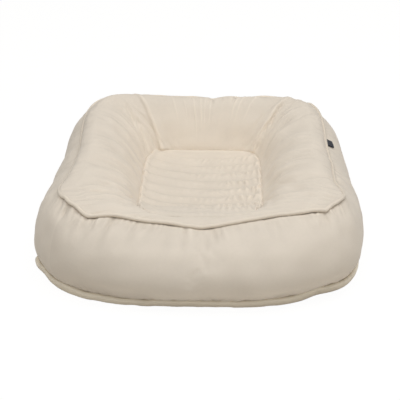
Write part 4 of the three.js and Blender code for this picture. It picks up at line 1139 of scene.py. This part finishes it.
def cord_girth(s):
    """On the left and on the right the cord is drawn in between the cloths."""
    return 1 - 0.12 * left_of(s) - 0.12 * plateau(s, 1.0, 1.2, 1.9, 2.1)


top_piping, top_length = corded("piping_top", top_seam, piping_cloth, radius=3.6 * MM, wave=2.0 * MM,
                                seed=51, count=1100, girth=cord_girth, sink=2.6 * MM)
dress(top_piping, "lounger", "piping", "top_piping")


def welt_height(s):
    """The welt stands up like a flange, and taller towards the front corners."""
    way = lambda at: abs((s - at + 2) % 4 - 2)
    uneven = 0.10 * np.sin(13 * s + 1) * np.sin(7 * s) + 0.06 * np.sin(31 * s)
    return 1.55 + uneven + 0.5 * bell(way(3.98), 0.16) + 0.4 * bell(way(0.93), 0.16)


bottom_piping, base_length = corded("piping_bottom_welt", base_seam, welt_cloth, radius=5.2 * MM,
                                    wave=5.0 * MM, seed=52, count=1200, ground=0.2 * MM, tall=welt_height)
dress(bottom_piping, "lounger", "piping", "bottom_piping")
print("piping", round(top_length, 3), "m and", round(base_length, 3), "m")

# %% [markdown]
# ## The base
# The bottom of the cover is one flat cloth inside the welt, and the ticking has one like it. Each is
# a set of rings that shrink to the centre, with shallow waves, since cloth never lies quite flat.

# %% The base panel
def base_sheet(name, material, thick, seed, inset, bottom, rise=0.0):
    """Rings from the seam to the centre: plan = seam times share, and shallow waves in between."""
    s = 4 * np.arange(320) / 320
    rim = base_seam(s)
    rim = rim - unit(rim * [1, 1, 0]) * inset
    share = np.linspace(1, 0.0002, 44)[:, None]
    grid = rim[None] * share[..., None]
    wave = np.clip(waves(grid, 120 * MM, seed) * 0.5 + 0.5, 0, 1)
    grid[..., 2] = bottom + thick + rise * (1 - share ** 2) * wave
    return panel(name, grid, thick, material, grid[..., :2], closed=True), grid


def declare_round(thing, grid):
    """A panel of closed rings is cut as its rim's outline: the rim's two sides, and the grid's area."""
    wide, long = (float(v) for v in (grid[0].max(0) - grid[0].min(0))[:2])
    say_sheet(thing, wide, long, grid_area(np.concatenate([grid, grid[:, :1]], 1)))


base_panel, base_grid = base_sheet("base_cloth", cover_cloth, CLOTH, 61, inset=3.4 * MM, bottom=0.1 * MM,
                                   rise=0.3 * MM)
dress(base_panel, "lounger", "cover", "base_panel")
declare_round(base_panel, base_grid)

# %% [markdown]
# ## The side tab
# A short dark ribbon is folded in two and caught in the right top seam. Nothing is printed on it.
# Its line is a U: out along one ply, round the fold, and back along the other, with a slight curl.

# %% The folded ribbon
TAB_Y, TAB_LENGTH, TAB_WIDTH, TAB_PLY = 76 * MM, 14.5 * MM, 20 * MM, 0.8 * MM


def tab_frame():
    """Origin on the band's top edge at the tab's place, and the directions down, out and along."""
    on_right = (ring_fine > 1) & (ring_fine < 2)
    column = int(np.argmin(np.where(on_right, abs(band[-1, :, 1] - TAB_Y), 1)))
    edge, below = band[-1, column], band[-9, column]
    down = unit(below - edge)
    along = unit(band[-1, column + 4] - band[-1, column - 4])
    out = unit(np.cross(along, -down))
    return edge, down, out, unit(np.cross(down, out))


def ribbon(length, width, ply, gap, rise):
    """The middle line of the ribbon: straight, half a circle, straight; lifted by a curl t^2."""
    origin, down, out, along = tab_frame()
    r = (gap + ply) / 2
    straight, bend = np.linspace(0, 1, 14), length - r - ply / 2
    turn = np.linspace(-np.pi / 2, np.pi / 2, 9)[1:-1]
    x = np.concatenate([straight * bend, bend + r * np.cos(turn), straight[::-1] * bend])
    y = np.concatenate([-r + 0 * straight, r * np.sin(turn), r + 0 * straight])
    w = np.linspace(-width / 2, width / 2, 21)
    x, y, w = x[:, None] + 0 * w, y[:, None] + 0 * w, w[None, :] + 0 * x[:, None]
    y = y + 1.6 * MM * (x / length) ** 2 * (0.6 + 0.4 * np.sin(w / width * 3 + 1)) + rise
    return origin + x[..., None] * down + y[..., None] * out + w[..., None] * along, x, w


tab_grid, tab_x, tab_w = ribbon(TAB_LENGTH, TAB_WIDTH, TAB_PLY, gap=0.4 * MM, rise=2.6 * MM)
tab_grid = tab_grid[:, ::-1]
tab_grid = tab_grid + facing(tab_grid, False) * TAB_PLY / 2
tab = panel("side_tab_ribbon", tab_grid, TAB_PLY, tab_cloth, np.stack([tab_x, tab_w], -1))
dress(tab, "lounger", "tab", "side_tab")
say_sheet(tab, 2 * TAB_LENGTH, TAB_WIDTH, 2 * TAB_LENGTH * TAB_WIDTH)

# %% [markdown]
# ## Inside: ticking and filling
# Under the cover lies the cushion itself: a ring of loose fibre and a flat pad, in a thin undyed
# ticking. They follow the cover's surface at a depth, so nothing shows through a crease. The ring of
# fibre is one closed form, and its lumps are a noise field.

# %% Inner surfaces
def columns_at(values, s):
    """Columns of a closed grid at any ring parameters, between its own columns in proportion."""
    place = s / 4 * values.shape[1]
    i = np.floor(place).astype(int)
    f = (place - i).reshape(1, -1, *[1] * (values.ndim - 2))
    return values[:, i % values.shape[1]] * (1 - f) + values[:, (i + 1) % values.shape[1]] * f


# The walls' columns lean at the rear corners. Each column of the band goes on in the wall column
# whose upper end it meets.
meeting_s = np.interp(ring, lean(ring_fine, *SEAM_LEAN), ring_fine)
CENTRE = np.array([0, 51.5 * MM, 0])                       # the middle of the well's level floor
TICKING, TICKING_DEPTH, TICKING_FOOT, TICKING_REAR = 0.8 * MM, 6.5 * MM, 3.2 * MM, 274.5 * MM
FILL_DEPTH, FILL_FOOT, FILL_REAR = 11 * MM, 3.4 * MM, 273 * MM


def inner_rings(depth, rear_limit):
    """Rings up the band, over the crest and down the wall, sunk along the normals; deeper at the seams."""
    near_seam = lambda far: 5 * MM * bell(far, 14 * MM)
    b = band - band_normal * (depth + near_seam(np.minimum(band_down, band_up)))[..., None]
    w = wall - wall_normal * (depth + near_seam(wall_in) + 2 * MM * bell(wall_out, 12 * MM))[..., None]
    w[..., 2] = np.minimum(w[..., 2], wall[..., 2] - 0.7 * depth)
    rings = np.concatenate([columns_at(b[4::3], ring), columns_at(w[4::3], meeting_s)])
    rings[..., 1] = np.minimum(rings[..., 1], rear_limit)
    rings[..., 2] = np.maximum(rings[..., 2], TICKING_FOOT)
    return rings


def sunk_floor(points, depth):
    """Height of the well's floor with its sag, less a depth."""
    across = points[..., 0] / FLOOR["half_width"]
    dish = np.clip(1 - across ** 2, 0, 1) * smooth(-180 * MM, -60 * MM, points[..., 1])
    points[..., 2] = floor_height(points[..., 1]) - SAG * dish - depth
    return points


def foot_ring(depth):
    """The base seam's line, drawn in towards the middle, just above the base."""
    rim = base_seam(ring)
    rim = rim - unit(rim * [1, 1, 0]) * (5 * MM + depth)
    rim[:, 2] = TICKING_FOOT
    return rim[None]


def to_pit(shares, depth):
    """Rings from the floor's edge to the pit's, at shares of the way."""
    s = lean(meeting_s, *FLOOR_LEAN)
    a, b = outline(FLOOR, s), outline(PIT, s)
    return sunk_floor(a + (b - a) * np.array(shares)[:, None, None], depth)


under_floor = TICKING_DEPTH + 3 * MM
middle = CENTRE + (to_pit([1.0], under_floor) - CENTRE) * np.linspace(0.94, 0.0004, 22)[:, None, None]
skin = np.concatenate([foot_ring(TICKING_DEPTH), inner_rings(TICKING_DEPTH, TICKING_REAR),
                       to_pit([0.15, 0.4, 0.7, 0.9, 1.0], under_floor), sunk_floor(middle, under_floor)])
skin_uv = np.stack(np.broadcast_arrays(np.interp(ring, ring_fine, top_arc), lengths(skin)), -1)
ticking = panel("ticking_shell", skin, TICKING, ticking_cloth, skin_uv, closed=True)
dress(ticking, "lounger", "ticking", "inner_ticking")
declare_sheet(ticking, np.concatenate([skin, skin[:, :1]], 1), (1.0, 1.0))
ticking_floor, ticking_grid = base_sheet("ticking_base_cloth", ticking_cloth, TICKING, 62, inset=7.2 * MM,
                                         bottom=2.3 * MM)
dress(ticking_floor, "lounger", "ticking", "ticking_base")
declare_round(ticking_floor, ticking_grid)

# %% [markdown]
# ## The filling
# The bolster is a ring of fibre: up the outside, over the crest, down into the well and back along
# the foot. One grid that closes both ways gives that ring. The pad under the well's floor is a
# second, flat form. Both stay closed solids, so that the filling could be weighed or cut.

# %% Filling
def closed_tube(name, rings, material):
    """A grid that closes both ways, as one solid ring."""
    return raise_mesh(name, rings.reshape(-1, 3), quads(*rings.shape[:2], True, True), material)


pit_top, foot = to_pit([1.0], FILL_DEPTH + 2 * MM), foot_ring(FILL_DEPTH)
pit_foot = pit_top.copy()
pit_foot[..., 2] = FILL_FOOT
pit_side = pit_top + (pit_foot - pit_top) * np.linspace(0, 1, 9)[1:, None, None]
under = pit_foot + (foot - pit_foot) * np.linspace(0, 1, 16)[1:-1, None, None]
rings = np.concatenate([foot, inner_rings(FILL_DEPTH, FILL_REAR),
                        to_pit([0.2, 0.5, 0.8], FILL_DEPTH + 2 * MM), pit_top, pit_side, under])
lump = waves(rings, 55 * MM, 71) * 2.0 * MM
sunk = 1.5 * MM + lump * smooth(4 * MM, 30 * MM, rings[..., 2])
rings = rings - facing(rings, True) * sunk[..., None]
rings[..., 2] = np.maximum(rings[..., 2], FILL_FOOT)
bolster = closed_tube("fibre_bolster", rings, white_fibre)
dress(bolster, "lounger", "fill", "bolster_fill")


def crowned_pad(name, outline_ring, material, bottom, top, rim_height):
    """A closed pad: height = top - (top - rim) r^4, with the straight sides pulled in a little."""
    up = np.linspace(0.0004, 1, 26)[:, None]
    flat_ring = (outline_ring - CENTRE) * [1, 1, 0]
    angle = np.arctan2(flat_ring[:, 1], flat_ring[:, 0])
    pull = 1 - 0.018 * abs(np.cos(2 * angle)) ** 2
    plan = lambda share: CENTRE + flat_ring[None] * (share * pull)[..., None]
    lid, side, foot = plan(up * 0.985), plan(np.full((6, 1), 1.0)), plan(up * 0.985)
    lid[..., 2] = top - up ** 4 * (top - rim_height)
    lid[..., 2] += 0.8 * MM * waves(lid, 60 * MM, 72)
    side[..., 2] = np.linspace(bottom + 2 * MM, rim_height - 2 * MM, 6)[:, None]
    foot[..., 2] = bottom
    return closed_tube(name, np.concatenate([foot, side, lid[::-1]]), material)


pad_ring = outline(PIT, ring[::2])
pad_ring = pad_ring - unit(pad_ring * [1, 1, 0]) * 1.5 * MM
pad = crowned_pad("fibre_centre_pad", pad_ring, pad_fibre, bottom=FILL_FOOT, top=66 * MM, rim_height=58 * MM)
dress(pad, "lounger", "fill", "centre_pad")

# %% [markdown]
# ## The zip across the rear
# Two woven tapes are sewn behind the slot's edges. On each tape's edge a nylon wire is wound into a
# coil, and the two coils hook into each other, half a turn apart. A cast slider with a pull runs on
# them between two crimped stops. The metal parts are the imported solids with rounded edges.

# %% Tapes and coils
tape_half = (tape_high.x - tape_low.x) / 2
coil_low, coil_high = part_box("zip_coil_upper")
coil_half = (coil_high.x - coil_low.x) / 2


def tape(name, side):
    """A strip whose visible part lies in the slot and whose sewn part steps behind the cloth."""
    away = np.array([3.25, 4.2, 5.2, 6.2, 7.2, 8.2, 9.4, 11, 13, 15.5, 17.5]) * MM
    x = np.linspace(-tape_half, tape_half, 260)
    y = TAPE_Y + 0.4 * MM - 2.0 * MM * smooth(7.2 * MM, 9.4 * MM, away)
    grid = np.stack(np.broadcast_arrays(x[None, :], y[:, None], (ZIP_Z + side * away)[:, None]), -1).copy()
    grid[..., 1] += 0.06 * MM * waves(grid, 12 * MM, 81)
    grid = grid[:, ::-1] if side > 0 else grid
    piece = panel(name, grid, 0.7 * MM, tape_cloth, grid[..., [0, 2]])
    declare_sheet(piece, grid, (1.0, 1.0))
    return piece


def coil(name, side, pitch=1.45 * MM, wire=0.34 * MM, sides=6):
    """A wire wound flat: x = pitch t, y and z on an ellipse; the other coil is half a turn behind."""
    turns = int(2 * (coil_half - wire) / pitch)
    t = np.linspace(0, turns, turns * 9 + 1)
    a = 2 * np.pi * (t + (0.5 if side < 0 else 0))
    path = np.stack([-coil_half + wire + pitch * t, TAPE_Y + (1.4 * MM - wire) * np.cos(a),
                     ZIP_Z + side * (1.6 * MM + (1.35 * MM - wire) * np.sin(a))], -1)
    along = unit(np.gradient(path, axis=0))
    one = unit(np.cross(along, [1.0, 0, 0]))
    two = np.cross(along, one)
    b = 2 * np.pi * np.arange(sides)[:, None] / sides
    points = (path[:, None] + wire * (np.cos(b) * one[:, None] + np.sin(b) * two[:, None])).reshape(-1, 3)
    last = (len(path) - 1) * sides
    end = np.array([[0, 1, 2, 3], [0, 3, 4, 5]])
    faces = np.concatenate([quads(len(path), sides, True), end[:, ::-1], end + last])
    return raise_mesh(name, points, faces, coil_nylon)


for word, side in (("upper", 1), ("lower", -1)):
    dress(tape(f"zip_tape_{word}_woven", side), "lounger", "zip_tape", f"zip_tape_{word}")
    dress(coil(f"zip_coil_{word}_wound", side), "lounger", "zip_coil", f"zip_coil_{word}")

# %% [markdown]
# ## Topstitching
# A row of thread beside each edge of the slot holds the tape behind the cloth. Each stitch that shows
# is a short bar with rounded ends. A bump texture could draw them, but then they'd cast no shadow.

# %% Topstitching beside the slot
def stitches(name, places, length, thick, sides=6, rings=6):
    """Small rounded bars along x: at t from -1 to 1 the radius is thick sqrt(1 - t^4)."""
    t = np.linspace(-1, 1, rings)
    a = 2 * np.pi * np.arange(sides) / sides
    r = thick * np.sqrt(np.clip(1 - t ** 4, 0.02, 1))[:, None]
    bar = np.stack(np.broadcast_arrays((t * length / 2)[:, None], -r * np.sin(a), r * np.cos(a)), -1)
    points = places[:, None] + bar.reshape(-1, 3)
    end = np.array([[0, 1, 2, 3], [0, 3, 4, 5]])               # two quads close a ring of six
    caps = [end, end[:, [3, 2, 1, 0]] + (rings - 1) * sides]
    one = np.concatenate([np.roll(quads(rings, sides, True)[:, ::-1], 1, 1), *caps])
    faces = (np.arange(len(places)) * rings * sides)[:, None, None] + one
    return raise_mesh(name, points.reshape(-1, 3), faces.reshape(-1, 4), sewing_thread)


def slot_stitches(fine_row, gap=3.2 * MM, from_end=4 * MM):
    """Stitch places on one row of the band beside the slot, a gap apart."""
    line = cut(band, REAR_FIRST, REAR_LAST)[fine_row][::-1]
    x = np.arange(-tape_half + from_end, tape_half - from_end, gap)
    y, z = (np.interp(x, line[:, 0], line[:, k]) for k in (1, 2))
    return np.stack([x, y + 0.1 * MM, z], -1)


places = np.concatenate([slot_stitches(FINE_LOW - 1), slot_stitches(FINE_HIGH + 1)])
dress(stitches("zip_topstitching", places, length=2.5 * MM, thick=0.32 * MM), "lounger", "zip_tape")

# %% [markdown]
# ## Metal parts
# The slider and its pull are cast and stamped, and the two stops are crimped on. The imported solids
# already have the right shape, and other pieces are placed by them, so each is copied, its flat faces
# are joined, and a bevel rounds the edges. Modelling them again would only add a chance of error.

# %% Metal parts with rounded edges
def rounded(node, name, body, width):
    """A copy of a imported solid: doubles merged, flat faces joined, edges bevelled."""
    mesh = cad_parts[node].data.copy()
    mesh.name = name
    form = bmesh.new()
    form.from_mesh(mesh)
    bmesh.ops.remove_doubles(form, verts=form.verts, dist=1e-6)
    bmesh.ops.dissolve_limit(form, angle_limit=math.radians(2), verts=form.verts, edges=form.edges)
    form.to_mesh(mesh)
    form.free()
    mesh.materials.clear()
    mesh.materials.append(zip_metal)
    thing = bpy.data.objects.new(name, mesh)
    bpy.context.scene.collection.objects.link(thing)
    bevel = thing.modifiers.new("edges", "BEVEL")
    bevel.width, bevel.segments = width, 3
    bevel.limit_method, bevel.angle_limit = "ANGLE", math.radians(35)
    return dress(thing, body, "zip_metal", node)


rounded("zip_slider", "zip_slider_cast", "slider", 0.28 * MM)
rounded("zip_pull", "zip_pull_stamped", "pull", 0.22 * MM)
rounded("zip_stop_start", "zip_stop_start_crimped", "lounger", 0.45 * MM)
rounded("zip_stop_end", "zip_stop_end_crimped", "lounger", 0.45 * MM)

# %% [markdown]
# ## Sizes
# The last cell takes the box of the dressed model.

# %% Sizes and finish
low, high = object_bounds()
